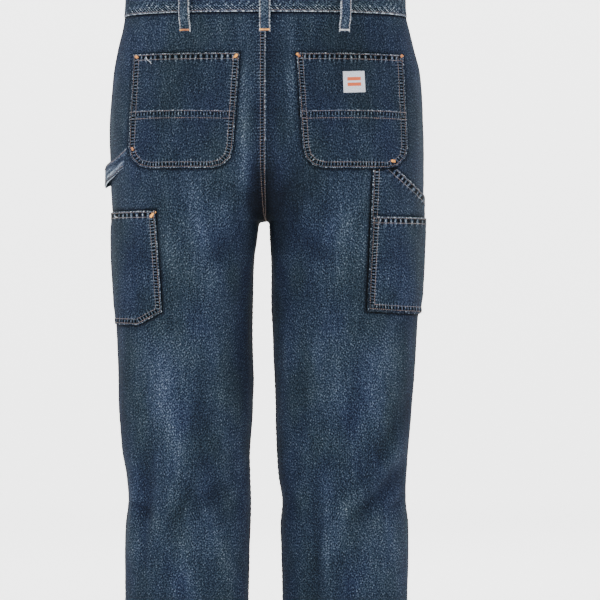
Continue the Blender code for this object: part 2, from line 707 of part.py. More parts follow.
for name, leg, outline, layers in (
    ("tool_pocket_left", "left", TOOL_POCKET_LEFT, 0),
    ("utility_pocket_right", "right", UTILITY_POCKET, 0),
    ("tool_pocket_right", "right", TOOL_POCKET_RIGHT, 1),
):
    wall(name, trim(sheet(*panels[leg]), outline_planes(outline)), *on_cloth(layers), denim())
low = on_cloth(1)[0]
wall("label", label(sheet(*panels["right"])), low, low + LABEL_CLOTH, material("label_cloth", "C9CBD2", 0.7))
wall("waistband", waistband(), BAND_PROUD - BAND_CLOTH, BAND_PROUD, denim())
for loop in BELT_LOOPS:
    belt_loop(loop)
hammer_loop()
button()
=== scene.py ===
"""Carpenter pants in washed indigo denim, filled out by nobody and seen from behind.

Metres, +Z up, the seat towards -Y, so the left leg is at -X. Each cloth piece is a thin wall on the
form of its solid, with its creases, puckers, worn edges and sewing.
"""

import math
from collections import namedtuple

import bmesh
import bpy
import numpy as np
from mathutils import Matrix, Vector


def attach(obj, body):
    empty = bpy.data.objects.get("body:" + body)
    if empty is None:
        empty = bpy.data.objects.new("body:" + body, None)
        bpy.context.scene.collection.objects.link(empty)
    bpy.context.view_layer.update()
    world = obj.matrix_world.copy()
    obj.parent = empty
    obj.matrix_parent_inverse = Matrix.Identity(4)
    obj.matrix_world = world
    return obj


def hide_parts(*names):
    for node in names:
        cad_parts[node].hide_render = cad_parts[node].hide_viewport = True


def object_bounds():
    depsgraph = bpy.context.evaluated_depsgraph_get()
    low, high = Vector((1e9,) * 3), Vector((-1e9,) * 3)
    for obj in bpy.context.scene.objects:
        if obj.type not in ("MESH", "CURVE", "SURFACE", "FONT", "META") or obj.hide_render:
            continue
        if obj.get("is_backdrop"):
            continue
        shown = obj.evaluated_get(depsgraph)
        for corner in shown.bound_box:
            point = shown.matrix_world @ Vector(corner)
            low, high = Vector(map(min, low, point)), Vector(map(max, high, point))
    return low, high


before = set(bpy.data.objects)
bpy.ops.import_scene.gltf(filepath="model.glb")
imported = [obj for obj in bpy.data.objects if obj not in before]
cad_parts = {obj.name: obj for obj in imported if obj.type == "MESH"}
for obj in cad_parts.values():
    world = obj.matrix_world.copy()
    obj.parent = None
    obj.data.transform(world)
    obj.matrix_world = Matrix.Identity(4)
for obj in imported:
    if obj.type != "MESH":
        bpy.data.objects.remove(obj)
cad_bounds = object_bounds()


# The studio: a round floor of matt white paper that curves up into its wall and gives off light of its
# own, so that it stays nearly white, with soft lamps and a camera square to the seat, at the height of
# the thighs, as for a catalogue picture.
PICTURE_WIDTH = 0.870
CAMERA_DISTANCE = 4.2
CAMERA_X = 0.0486
CAMERA_Z = -0.430
SENSOR = 36.0
FLOOR_Z = -1.134
FLOOR_RADIUS = 6.0
FLOOR_CURVE = 2.5
WALL_HEIGHT = 5.0
PAPER_GLOW = 1.5
LAMP_AIM = (0.0, 0.0, -0.45)
WORLD_STRENGTH = 1.35


def linear(hexcode):
    """An sRGB hex colour as a linear one with full alpha."""
    channels = [int(hexcode[i : i + 2], 16) / 255 for i in (0, 2, 4)]
    values = [c / 12.92 if c <= 0.04045 else ((c + 0.055) / 1.055) ** 2.4 for c in channels]
    return (*values, 1.0)


def node(tree, kind, inputs=None, ramp=(), **settings):
    """Adds a node with its settings; each input is given a value or an output socket, and a colour ramp
    its rows of position and hex colour or brightness."""
    made = tree.nodes.new(kind)
    for name, value in settings.items():
        setattr(made, name, value)
    for count, (at, shade) in enumerate(ramp):
        elements = made.color_ramp.elements
        element = elements[count] if count < 2 else elements.new(at)
        element.position = at
        element.color = linear(shade) if isinstance(shade, str) else (shade, shade, shade, 1.0)
    for name, value in (inputs or {}).items():
        if isinstance(value, bpy.types.NodeSocket):
            tree.links.new(value, made.inputs[name])
        else:
            made.inputs[name].default_value = value
    return made


def finish(name):
    """A new material, with its node tree and its shader."""
    made = bpy.data.materials.new(name)
    made.use_nodes = True
    tree = made.node_tree
    return made, tree, tree.nodes["Principled BSDF"]


def piece(name, bm, *finishes):
    """A bmesh as a smooth-shaded object."""
    mesh = bpy.data.meshes.new(name)
    bm.to_mesh(mesh)
    bm.free()
    mesh.shade_smooth()
    for made in finishes:
        mesh.materials.append(made)
    thing = bpy.data.objects.new(name, mesh)
    bpy.context.scene.collection.objects.link(thing)
    return thing


def carried(name, bm, slot, *finishes):
    """A piece that rides on the root; the slot of what it is made of is not used."""
    thing = piece(name, bm, *finishes)
    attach(thing, "root")
    return thing


camera_data = bpy.data.cameras.new("camera")
camera_data.sensor_width = SENSOR
camera_data.lens = SENSOR * CAMERA_DISTANCE / PICTURE_WIDTH
camera_data.clip_end = 60.0
camera = bpy.data.objects.new("camera", camera_data)
camera.location = (CAMERA_X, -CAMERA_DISTANCE, CAMERA_Z)
camera.rotation_euler = (math.radians(90), 0.0, 0.0)
bpy.context.scene.collection.objects.link(camera)
bpy.context.scene.camera = camera

paper, _, paper_shader = finish("matt white studio paper")
paper_shader.inputs["Base Color"].default_value = linear("FAFAFA")
paper_shader.inputs["Roughness"].default_value = 0.95
paper_shader.inputs["Emission Color"].default_value = linear("FFFFFF")
paper_shader.inputs["Emission Strength"].default_value = PAPER_GLOW

bm = bmesh.new()
profile = [bm.verts.new((0.0, 0.0, FLOOR_Z)), bm.verts.new((FLOOR_RADIUS, 0.0, FLOOR_Z))]
for turn in range(1, 10):
    angle = math.radians(10 * turn)
    outwards = FLOOR_RADIUS + FLOOR_CURVE * math.sin(angle)
    profile.append(bm.verts.new((outwards, 0.0, FLOOR_Z + FLOOR_CURVE * (1 - math.cos(angle)))))
profile.append(bm.verts.new((FLOOR_RADIUS + FLOOR_CURVE, 0.0, FLOOR_Z + WALL_HEIGHT)))
edges = [bm.edges.new(pair) for pair in zip(profile, profile[1:])]
bmesh.ops.spin(
    bm, geom=profile + edges, cent=(0, 0, 0), axis=(0, 0, 1), angle=math.tau, steps=64, use_merge=True
)
bmesh.ops.remove_doubles(bm, verts=list(bm.verts), dist=0.0005)
bmesh.ops.recalc_face_normals(bm, faces=list(bm.faces))
piece("studio_floor", bm, paper)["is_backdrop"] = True

Lamp = namedtuple("Lamp", "name place size power")
LAMPS = (
    Lamp("key_lamp", (-2.6, -3.4, 1.6), 1.6, 95.0),
    Lamp("fill_lamp", (3.0, -3.0, 0.4), 2.2, 30.0),
    Lamp("front_lamp", (0.5, 3.6, 1.6), 2.4, 70.0),
)
for lamp in LAMPS:
    data = bpy.data.lights.new(lamp.name, "AREA")
    data.size = lamp.size
    data.energy = lamp.power
    thing = bpy.data.objects.new(lamp.name, data)
    thing.location = lamp.place
    aim = Vector(LAMP_AIM) - thing.location
    thing.rotation_euler = aim.to_track_quat("-Z", "Y").to_euler()
    bpy.context.scene.collection.objects.link(thing)

world = bpy.data.worlds.new("studio light")
world.use_nodes = True
world.node_tree.nodes["Background"].inputs["Color"].default_value = linear("FFFFFF")
world.node_tree.nodes["Background"].inputs["Strength"].default_value = WORLD_STRENGTH
bpy.context.scene.world = world


# The cut: each leg's ring at every height, worked out as for the solids, from the level table. Two
# panels go round each leg, the back one from the seat seam and the front one from the fly seam.
SEAM_GAP = 0.0003
DENIM = 0.0014
POCKET_DENIM = 0.0013
WAISTBAND_HALF = 0.021
WAIST_SEAM = -WAISTBAND_HALF
CROTCH = -0.316
HEM = -1.130
HEM_BAND = 0.014
HEM_STEP = 0.0009
FRONT_DIP = 0.020
DIP_END = -0.150
DIP_FULL = 0.095
OUTSEAM_FORWARD = 0.012
ARCH_HEIGHT = 0.0016
ARCH_BLEND = 0.090
ARCH_TIP = 4
RISE_BEND = -0.190
RISE_POWER = 2.3
SEAT_ROUNDING = (0.012, 0.110)
TORSO_POWER = 2.25
LEG_POWER = 2.1
POWER_CHANGE = (-0.45, -0.20)
CROTCH_REACH = 0.060
INNER_SHARE = 0.30
ARC_STEPS = 48
BACK_COLUMNS = 112
FRONT_COLUMNS = 74
SEAT_ROW = 0.0027
LEG_ROW = 0.0040
SEAT_END = -0.470
ARCH_ROWS = (0.0008, 0.0, -0.0005, -0.0010, -0.0018, -0.0030)
ARCH_CLEAR = 0.0036

Level = namedtuple(
    "Level",
    "z left_out left_in right_in right_out back front mid full_back full_front seat fly",
)
LEVELS = (
    Level(0.021, 0.2027, 0.015, 0.005, 0.2000, -0.0915, 0.0925, 0.000, 0.00, 0.00, -0.0915, 0.0925),
    Level(-0.021, 0.2050, 0.015, 0.005, 0.2025, -0.0935, 0.0950, 0.000, 0.04, 0.00, -0.0935, 0.0950),
    Level(-0.068, 0.2153, 0.015, 0.005, 0.2139, -0.1060, 0.1010, 0.000, 0.20, 0.00, -0.1040, 0.1010),
    Level(-0.104, 0.2211, 0.015, 0.005, 0.2226, -0.1170, 0.1050, 0.000, 0.32, 0.00, -0.1120, 0.1050),
    Level(-0.176, 0.2255, 0.015, 0.005, 0.2269, -0.1360, 0.1100, -0.002, 0.43, 0.18, -0.1240, 0.1060),
    Level(-0.249, 0.2250, 0.015, 0.005, 0.2270, -0.1400, 0.1100, -0.004, 0.47, 0.38, -0.1250, 0.1020),
    Level(-0.316, 0.2228, 0.015, 0.005, 0.2262, -0.1210, 0.1060, -0.004, 0.51, 0.50, -0.1220, 0.1000),
    Level(-0.394, 0.2224, 0.0196, 0.0080, 0.2234, -0.1050, 0.1010, -0.002, 0.53, 0.53, -0.12, 0.10),
    Level(-0.466, 0.2182, 0.0210, 0.0094, 0.2197, -0.0970, 0.0970, 0.000, 0.54, 0.54, -0.12, 0.10),
    Level(-0.575, 0.2139, 0.0200, 0.0135, 0.2124, -0.0890, 0.0900, 0.000, 0.55, 0.55, -0.12, 0.10),
    Level(-0.648, 0.2093, 0.0252, 0.0155, 0.2066, -0.0820, 0.0860, 0.001, 0.56, 0.56, -0.12, 0.10),
    Level(-0.684, 0.2037, 0.0254, 0.0181, 0.2037, -0.0785, 0.0845, 0.002, 0.56, 0.56, -0.12, 0.10),
    Level(-0.720, 0.2003, 0.0240, 0.0239, 0.2020, -0.0755, 0.0825, 0.002, 0.56, 0.56, -0.12, 0.10),
    Level(-0.756, 0.2040, 0.0242, 0.0212, 0.2052, -0.0760, 0.0790, 0.000, 0.56, 0.56, -0.12, 0.10),
    Level(-0.829, 0.2053, 0.0266, 0.0236, 0.2053, -0.0775, 0.0700, -0.004, 0.57, 0.57, -0.12, 0.10),
    Level(-1.000, 0.2030, 0.0290, 0.0250, 0.2010, -0.0765, 0.0580, -0.010, 0.57, 0.57, -0.12, 0.10),
    Level(-1.130, 0.2008, 0.0312, 0.0268, 0.1985, -0.0750, 0.0510, -0.012, 0.57, 0.57, -0.12, 0.10),
)


def eased(value, low, high):
    """0 at low, 1 at high, with a soft start and end."""
    t = np.clip((value - low) / (high - low), 0.0, 1.0)
    return t * t * (3 - 2 * t)


def read(z, column):
    """A column of the level table at height z, on a smooth curve through the rows."""
    heights = [row.z for row in LEVELS]
    values = [getattr(row, column) for row in LEVELS]
    z = min(max(z, heights[-1]), heights[0])
    last = len(heights) - 1
    i = next(k for k in range(last) if z >= heights[k + 1])
    span = heights[i + 1] - heights[i]
    t = (z - heights[i]) / span

    def slope(k):
        low = max(k - 1, 0)
        high = min(k + 1, last)
        return (values[high] - values[low]) / (heights[high] - heights[low])

    t2 = t * t
    t3 = t2 * t
    return (
        (2 * t3 - 3 * t2 + 1) * values[i]
        + (t3 - 2 * t2 + t) * span * slope(i)
        + (3 * t2 - 2 * t3) * values[i + 1]
        + (t3 - t2) * span * slope(i + 1)
    )


def quarter(full, end, mid, reach, power, turns, last=math.pi / 2):
    """Part of a superellipse, from its fullest point (full, reach) to x = end, as (x, y) rows."""
    angle = turns * last
    along = (np.sin(angle) / math.sin(last)) ** (2 / power)
    down = np.maximum(np.cos(angle), 0) ** (2 / power)
    return np.stack([full + (end - full) * along, mid + (reach - mid) * down], axis=1)


def inner_stretch(z, full, inside, mid, reach, seam, power, turns):
    """From the fullest point to the seat or fly seam, or to the inseam below the crotch."""
    if z <= CROTCH:
        arch = 1 - math.exp(-(CROTCH - z) / ARCH_HEIGHT)
        drawn_in = eased(CROTCH - z, 0.0, ARCH_BLEND)
        end = inside * (drawn_in + (arch - drawn_in) * turns**ARCH_TIP)
        return quarter(full, end, mid, reach, power, turns)
    down = min(max((RISE_BEND - z) / (RISE_BEND - CROTCH), 0.0), 1.0)
    depth = mid + (seam - mid) * (1 - down**RISE_POWER) ** (1 / RISE_POWER)
    share = min(max((depth - mid) / (reach - mid), 0.0), 1.0)
    last = max(math.acos(share ** (power / 2)), 0.02)
    arc = quarter(full, 0.0, mid, reach, power, turns, last)
    wave = (1 - np.cos(math.pi * turns)) / 2
    bridge = np.stack([full * (1 - turns), reach + (depth - reach) * wave], axis=1)
    near_crotch = 1 - eased(z - CROTCH, *SEAT_ROUNDING)
    return bridge + (arc - bridge) * near_crotch


def half_ring(side, z):
    """One leg's section at height z, from the seat seam round the side to the fly: its points, the
    lengths to them, and the length to its side-most point."""
    left = side < 0
    outside = read(z, "left_out" if left else "right_out")
    inside = read(z, "left_in" if left else "right_in")
    mid = read(z, "mid")
    power = LEG_POWER + (TORSO_POWER - LEG_POWER) * eased(z, *POWER_CHANGE)
    turns = np.linspace(0, 1, ARC_STEPS)
    halves = []
    for reach, full, seam in (("back", "full_back", "seat"), ("front", "full_front", "fly")):
        depth = read(z, reach)
        widest = max(read(z, full), 0.0) * outside
        inner = inner_stretch(z, widest, inside, mid, depth, read(z, seam), power, turns)
        outer = quarter(widest, outside, mid, depth, power, turns)
        halves.append(np.concatenate([inner[::-1], outer[1:]]))
    back, front = halves
    ring = np.concatenate([back, front[::-1][1:]])
    ring[:, 0] *= side
    length = np.concatenate([[0.0], np.cumsum(np.linalg.norm(np.diff(ring, axis=0), axis=1))])
    return ring, length, length[len(back) - 1]


def panel_length(side, z):
    """The lengths of the back and front panels round the leg at height z, and the ring they lie on."""
    ring, length, side_most = half_ring(side, z)
    outseam = side_most + OUTSEAM_FORWARD
    return np.array([outseam, length[-1] - outseam]), ring, length


def ring_columns(side, z):
    """The panels' columns on one leg's ring, as (x, y), and the length to each from the outseam. Near
    the crotch only the innermost columns follow the ring's quick growth."""
    panels, ring, length = panel_length(side, z)
    even = panels
    if abs(z - CROTCH) < CROTCH_REACH:
        above = panel_length(side, CROTCH + CROTCH_REACH)[0]
        below = panel_length(side, CROTCH - CROTCH_REACH)[0]
        even = above + (below - above) * eased(CROTCH - z, -CROTCH_REACH, CROTCH_REACH)
    places = []
    for actual, steady, columns in zip(panels, even, (BACK_COLUMNS, FRONT_COLUMNS)):
        share = np.linspace(0, 1, columns)
        from_inside = actual - (1 - share) * steady
        nearest = actual - (1 - INNER_SHARE) * steady
        places.append(np.where(share < INNER_SHARE, share / INNER_SHARE * nearest, from_inside))
    line = np.concatenate([places[0], length[-1] - places[1][::-1][1:]])
    return np.stack([np.interp(line, length, ring[:, axis]) for axis in (0, 1)], axis=1), line - panels[0]


def front_dip(z, y):
    """How much lower than at the back the cloth of height z lies at depth y."""
    return FRONT_DIP * eased(z, DIP_END, WAIST_SEAM) * eased(y, 0.0, DIP_FULL)


def directions(points, side, heights):
    """Outward directions of a leg's grid, the same on both sides of each seam."""
    around = np.empty_like(points)
    around[:, 1:-1] = points[:, 2:] - points[:, :-2]
    around[:, 0] = points[:, 1] - points[:, 0]
    around[:, -1] = points[:, -1] - points[:, -2]
    closed = heights <= CROTCH
    around[closed, 0] = points[closed, 1] - points[closed, -2]
    around[closed, -1] = around[closed, 0]
    down = np.empty_like(points)
    down[1:-1] = points[2:] - points[:-2]
    down[0] = points[1] - points[0]
    down[-1] = points[-1] - points[-2]
    outward = np.cross(around, down) * -side
    for edge in (0, -1):
        inwards = outward[~closed, edge, 0] * side
        outward[~closed, edge, 0] = np.where(inwards > 0, 0.0, outward[~closed, edge, 0])
    return outward / np.linalg.norm(outward, axis=2, keepdims=True)


# The drape: the large folds are those of the solids, and between them lie the finer creases of worn
# denim, drag lines from the crotch and breaks behind the knee, and the puckers that shrunken seams pull.
Fold = namedtuple("Fold", "face x0 z0 x1 z1 width depth")
FOLDS = (
    Fold(-1, -0.166, -0.600, -0.177, -0.810, 0.0110, -0.0060),
    Fold(-1, -0.193, -0.640, -0.194, -0.800, 0.0090, 0.0030),
    Fold(-1, 0.196, -0.680, 0.112, -0.752, 0.0130, -0.0070),
    Fold(-1, 0.190, -0.648, 0.120, -0.700, 0.0130, 0.0030),
    Fold(-1, -0.045, -0.690, -0.120, -0.735, 0.0130, -0.0050),
    Fold(-1, -0.035, -0.335, -0.085, -0.385, 0.0120, -0.0050),
    Fold(-1, 0.028, -0.330, 0.090, -0.372, 0.0120, -0.0050),
    Fold(1, -0.040, -0.318, -0.150, -0.262, 0.0140, -0.0060),
    Fold(1, 0.036, -0.322, 0.142, -0.254, 0.0140, -0.0060),
    Fold(1, -0.052, -0.352, -0.135, -0.335, 0.0130, -0.0045),
    Fold(1, 0.050, -0.356, 0.150, -0.330, 0.0130, -0.0045),
    Fold(1, -0.185, -0.742, -0.075, -0.770, 0.0140, -0.0060),
    Fold(1, 0.188, -0.736, 0.080, -0.764, 0.0140, -0.0060),
    Fold(1, -0.150, -0.905, -0.120, -1.080, 0.0150, -0.0050),
    Fold(1, 0.155, -0.890, 0.118, -1.060, 0.0150, -0.0050),
)
CREASES = (
    Fold(-1, -0.157, -0.470, -0.143, -0.590, 0.0200, 0.0026),
    Fold(-1, -0.142, -0.560, -0.116, -0.700, 0.0190, 0.0018),
    Fold(-1, -0.107, -0.690, -0.140, -0.765, 0.0110, -0.0030),
    Fold(-1, -0.100, -0.520, -0.088, -0.650, 0.0120, -0.0024),
    Fold(-1, -0.198, -0.718, -0.166, -0.736, 0.0050, -0.0030),
    Fold(-1, -0.100, -0.690, -0.052, -0.830, 0.0115, 0.0028),
    Fold(-1, -0.062, -0.480, -0.058, -0.640, 0.0100, 0.0012),
    Fold(-1, -0.120, -0.775, -0.098, -0.870, 0.0110, 0.0022),
    Fold(-1, -0.140, -0.780, -0.150, -0.900, 0.0100, -0.0018),
    Fold(-1, 0.088, -0.695, 0.084, -0.870, 0.0085, 0.0024),
    Fold(-1, 0.072, -0.700, 0.070, -0.870, 0.0080, -0.0022),
    Fold(-1, 0.124, -0.690, 0.094, -0.790, 0.0110, 0.0022),
    Fold(-1, 0.200, -0.575, 0.157, -0.668, 0.0100, -0.0028),
    Fold(-1, 0.157, -0.668, 0.112, -0.708, 0.0090, -0.0024),
    Fold(-1, 0.196, -0.625, 0.160, -0.700, 0.0090, 0.0018),
    Fold(-1, 0.203, -0.706, 0.182, -0.730, 0.0050, -0.0030),
    Fold(-1, 0.030, -0.465, 0.029, -0.620, 0.0090, 0.0014),
    Fold(-1, 0.052, -0.470, 0.048, -0.600, 0.0090, -0.0012),
    Fold(-1, 0.170, -0.465, 0.148, -0.620, 0.0160, 0.0022),
    Fold(-1, 0.128, -0.480, 0.116, -0.640, 0.0120, -0.0012),
    Fold(-1, -0.030, -0.085, -0.033, -0.290, 0.0075, 0.0014),
    Fold(-1, 0.037, -0.060, 0.031, -0.250, 0.0080, 0.0012),
    Fold(-1, -0.108, -0.258, -0.074, -0.420, 0.0150, 0.0022),
    Fold(-1, -0.140, -0.270, -0.128, -0.420, 0.0120, 0.0012),
    Fold(-1, 0.050, -0.240, 0.010, -0.308, 0.0090, -0.0024),
    Fold(-1, -0.044, -0.268, -0.008, -0.312, 0.0090, -0.0024),
    Fold(-1, 0.085, -0.262, 0.040, -0.330, 0.0100, 0.0014),
    Fold(-1, 0.118, -0.280, 0.104, -0.420, 0.0120, 0.0014),
    Fold(-1, -0.185, -0.905, -0.110, -0.935, 0.0090, -0.0024),
    Fold(-1, -0.060, -0.960, -0.130, -0.985, 0.0090, -0.0026),
    Fold(-1, -0.180, -1.030, -0.100, -1.058, 0.0090, -0.0024),
    Fold(-1, 0.180, -0.925, 0.105, -0.950, 0.0090, -0.0024),
    Fold(-1, 0.060, -0.985, 0.135, -1.012, 0.0090, -0.0026),
    Fold(-1, 0.184, -1.045, 0.110, -1.070, 0.0090, -0.0024),
    Fold(1, -0.030, -0.292, -0.120, -0.205, 0.0080, -0.0022),
    Fold(1, 0.028, -0.296, 0.124, -0.212, 0.0080, -0.0022),
    Fold(1, -0.060, -0.300, -0.165, -0.262, 0.0080, 0.0018),
    Fold(1, 0.058, -0.306, 0.168, -0.258, 0.0080, 0.0018),
    Fold(1, -0.175, -0.300, -0.188, -0.460, 0.0120, 0.0018),
    Fold(1, 0.176, -0.310, 0.190, -0.450, 0.0120, 0.0018),
    Fold(1, -0.178, -0.700, -0.100, -0.722, 0.0085, -0.0026),
    Fold(1, -0.060, -0.790, -0.140, -0.806, 0.0085, -0.0024),
    Fold(1, 0.182, -0.694, 0.104, -0.716, 0.0085, -0.0026),
    Fold(1, 0.064, -0.786, 0.146, -0.800, 0.0085, -0.0024),
    Fold(1, -0.175, -0.960, -0.090, -0.990, 0.0090, -0.0026),
    Fold(1, -0.062, -1.040, -0.140, -1.062, 0.0090, -0.0026),
    Fold(1, 0.178, -0.970, 0.092, -1.000, 0.0090, -0.0026),
    Fold(1, 0.066, -1.045, 0.140, -1.070, 0.0090, -0.0026),
)
FOLD_END_SHARE = 0.35
# The share of a large fold's height that gets no fade and no painted shade, for it moves about in wear
UNWORN = 0.45
FOLD_FADE = (0.010, 0.040)
FLY_RAISE = 0.0019
FLY_WIDTH = 0.018
FLY_FLAT = 0.004
FLY_END = -0.190
FLY_FADE = 0.030
# Soft unevenness of the cloth: the size of its swells and how high they stand
SWELLS = ((0.085, 0.0013, 11), (0.034, 0.0005, 12), (0.014, 0.00016, 13))
FELL_WIDTH = 0.0098
FELL_RAISE = 0.0008
PUCKER_PITCH = 0.0088
PUCKER_HEIGHT = 0.0006
PUCKER_REACH = 0.016
HEM_ROPING = 0.012
HEM_ROPED = (0.022, 0.010)
ROPING_HEIGHT = 0.0006
# How far from the waist seam the folds, the outseam's puckers and the fly's puckers are full
FOLDS_FULL = 0.022
OUTSEAM_PUCKERS = (0.09, 0.13)
INNER_PUCKERS_FULL = 0.03


def soft_noise(x, y, seed):
    """Smooth random values from -1 to 1, with one free value at each whole number of x and y."""
    lattice = np.random.default_rng(seed).uniform(-1, 1, (97, 97))
    column = np.floor(x).astype(int)
    row = np.floor(y).astype(int)
    across = x - column
    along = y - row
    across = across * across * (3 - 2 * across)
    along = along * along * (3 - 2 * along)

    def at(i, j):
        return lattice[j % 97, i % 97]

    low = at(column, row) * (1 - across) + at(column + 1, row) * across
    high = at(column, row + 1) * (1 - across) + at(column + 1, row + 1) * across
    return low * (1 - along) + high * along


def fold_height(x, y, z, folds):
    """The height of the folds, with slightly wavering lines, at points of the cloth."""
    height = np.zeros_like(x)
    for number, fold in enumerate(folds):
        across_x = fold.x1 - fold.x0
        across_z = fold.z1 - fold.z0
        length2 = across_x**2 + across_z**2
        t = ((x - fold.x0) * across_x + (z - fold.z0) * across_z) / length2
        nearest = np.clip(t, 0.0, 1.0)
        off = np.hypot(x - fold.x0 - nearest * across_x, z - fold.z0 - nearest * across_z)
        width = fold.width * (1 + 0.25 * np.sin(5 * nearest + number))
        swell = FOLD_END_SHARE + (1 - FOLD_END_SHARE) * np.sin(math.pi * nearest)
        depth = fold.depth * swell * np.exp(-((off / width) ** 2))
        height += np.where(y * fold.face > 0, depth * eased(np.abs(y), *FOLD_FADE), 0.0)
    return height


def pucker(along, distance, seed):
    """Uneven little waves along a seam that die out with the distance from it."""
    phase = along / PUCKER_PITCH + 0.8 * soft_noise(along / 0.031, distance / 0.02, seed)
    size = 0.65 + 0.35 * soft_noise(along / 0.045, distance * 0, seed + 1)
    return PUCKER_HEIGHT * size * np.sin(math.tau * phase) * np.exp(-np.abs(distance) / PUCKER_REACH)


def rows_of(top, bottom):
    """The heights of the rows: closer over the seat, closest under the crotch."""
    seat = np.arange(top, SEAT_END, -SEAT_ROW)
    legs = np.linspace(SEAT_END, bottom, int((SEAT_END - bottom) / LEG_ROW))
    near = CROTCH + np.array(ARCH_ROWS)
    away = seat[np.abs(seat - CROTCH) > ARCH_CLEAR]
    return np.sort(np.concatenate([away, near, legs]))[::-1]


Leg = namedtuple("Leg", "points outward heights across ridge")


def leg_cloth(side):
    """A whole leg's cloth: points and outward directions, each column's length from the outseam, and how
    high its folds stand, which sets their fade and painted shade."""
    heights = rows_of(WAIST_SEAM - SEAM_GAP / 2, HEM)
    columns = BACK_COLUMNS + FRONT_COLUMNS - 1
    points = np.empty((len(heights), columns, 3))
    across = np.empty((len(heights), columns))
    for i, z in enumerate(heights):
        points[i, :, :2], across[i] = ring_columns(side, z)
        points[i, :, 2] = z - front_dip(z, points[i, :, 1])
    outward = directions(points, side, heights)
    x, y, z = points[:, :, 0], points[:, :, 1], points[:, :, 2]
    level = heights[:, None] + 0 * x
    large = fold_height(x, y, z, FOLDS)
    fold = large + fold_height(x, y, z, CREASES)
    for size, height, seed in SWELLS:
        fold += height * soft_noise(across / size + 40, level / size + 60, seed + (side > 0) * 7)
    fold *= eased(WAIST_SEAM - level, 0.0, FOLDS_FULL)
    height = fold.copy()
    height += pucker(across, WAIST_SEAM - level, 21)
    height += pucker(level, across, 31) * eased(WAIST_SEAM - level, *OUTSEAM_PUCKERS)
    inner = across - across[:, :1]
    height += pucker(level, inner, 41 + (side > 0)) * eased(WAIST_SEAM - level, 0.0, INNER_PUCKERS_FULL)
    fell = FELL_RAISE * (1 - eased(inner, FELL_WIDTH - 0.0015, FELL_WIDTH + 0.001))
    height += fell * ((level < CROTCH) | (side < 0)) * (y < 0)
    roping = np.sin(math.tau * (across + 0.5 * level) / HEM_ROPING + soft_noise(across / 0.04, level, 51))
    height += ROPING_HEIGHT * roping * eased(-level, -HEM - HEM_ROPED[0], -HEM - HEM_ROPED[1])
    height += HEM_STEP * (level <= HEM + HEM_BAND)
    if side < 0:
        lap = FLY_RAISE * eased(-np.abs(x), -FLY_WIDTH, -FLY_FLAT)
        height += lap * eased(level, FLY_END - FLY_FADE, FLY_END) * (y > 0)
    points += outward * height[:, :, None]
    return Leg(points, directions(points, side, heights), heights, across, fold - UNWORN * large)


def parted(points, edge, inner):
    """An edge column moved half a seam's gap towards its neighbour."""
    along = points[:, inner] - points[:, edge]
    points[:, edge] += along / np.linalg.norm(along, axis=1, keepdims=True) * SEAM_GAP / 2


Panel = namedtuple("Panel", "points outward cloth seam fade")
legs = {"left": leg_cloth(-1), "right": leg_cloth(1)}


# The panels: four lengths of right-hand twill, each cut from one piece from the waist seam to the hem.
# Washing has faded the seat and the thighs. The folds' ridges are painted lighter and their troughs
# darker, partly as wash fade and partly as painted shade. Painted shade darkens the seams, the flanks
# and the crotch, where the legs round away, and painted shadows lie outside the pockets and below
# the waistband.
# The zones: the lighter ones are the wash's fade on the seat and thighs, and the darker ones are painted
# shade in the crotch, down the inner leg and along the flanks, where the legs round away.
Zone = namedtuple("Zone", "x z wide tall amount")
BACK_ZONES = (
    Zone(-0.029, -0.190, 0.0080, 0.090, 0.110),
    Zone(0.036, -0.110, 0.0100, 0.060, 0.100),
    Zone(-0.105, -0.350, 0.045, 0.080, 0.040),
    Zone(0.110, -0.340, 0.040, 0.070, 0.030),
    Zone(-0.125, -0.580, 0.030, 0.130, 0.040),
    Zone(0.135, -0.780, 0.045, 0.100, 0.035),
    Zone(-0.010, -0.285, 0.014, 0.050, -0.230),
    Zone(0.005, -0.290, 0.034, 0.045, -0.100),
    Zone(-0.030, -0.470, 0.022, 0.140, -0.060),
    Zone(0.060, -0.290, 0.045, 0.040, -0.050),
    Zone(-0.206, -0.580, 0.014, 0.120, -0.050),
    Zone(0.206, -0.560, 0.016, 0.110, -0.050),
)
FRONT_ZONES = (
    Zone(-0.120, -0.450, 0.050, 0.140, 0.080),
    Zone(0.125, -0.450, 0.050, 0.140, 0.080),
    Zone(-0.125, -0.740, 0.050, 0.090, 0.070),
    Zone(0.125, -0.735, 0.050, 0.090, 0.070),
    Zone(0.0, -0.300, 0.030, 0.050, -0.180),
)
# Painted shade: how dark the cloth is beside the seat seam and inseam, and beside the outseam and how far,
# where the legs round away; and how much lighter the folds' ridges and darker their troughs are painted,
# partly as wash fade and partly as painted shade.
SHADOW = 0.060
SIDE_SHADOW = 0.090
SIDE_REACH = 0.026
RIDGE_FADE_AND_SHADE = 27.0
SEAM_SHADOW_REACH = 0.018
MOTTLE = 0.035
# How worn each seam's edge is: the inseam, the seat and fly seam by side, the outseam's front and the hem
INSEAM_WEAR = 0.7
RISE_WEAR = {-1: 1.0, 1: 0.25}
FRONT_WEAR = 0.35
OUTSEAM_WEAR = 0.75
HEM_WEAR = 1.0
# Steps along the pattern, in metres, so that two seams or panels never show the same piece of it
OUTSEAM_STEP = 3
HEM_STEP_ALONG = 7
FRONT_STEP = 3
# The warp runs parallel to the upright line at this distance from the centre plane
GRAIN_LINE = 0.115


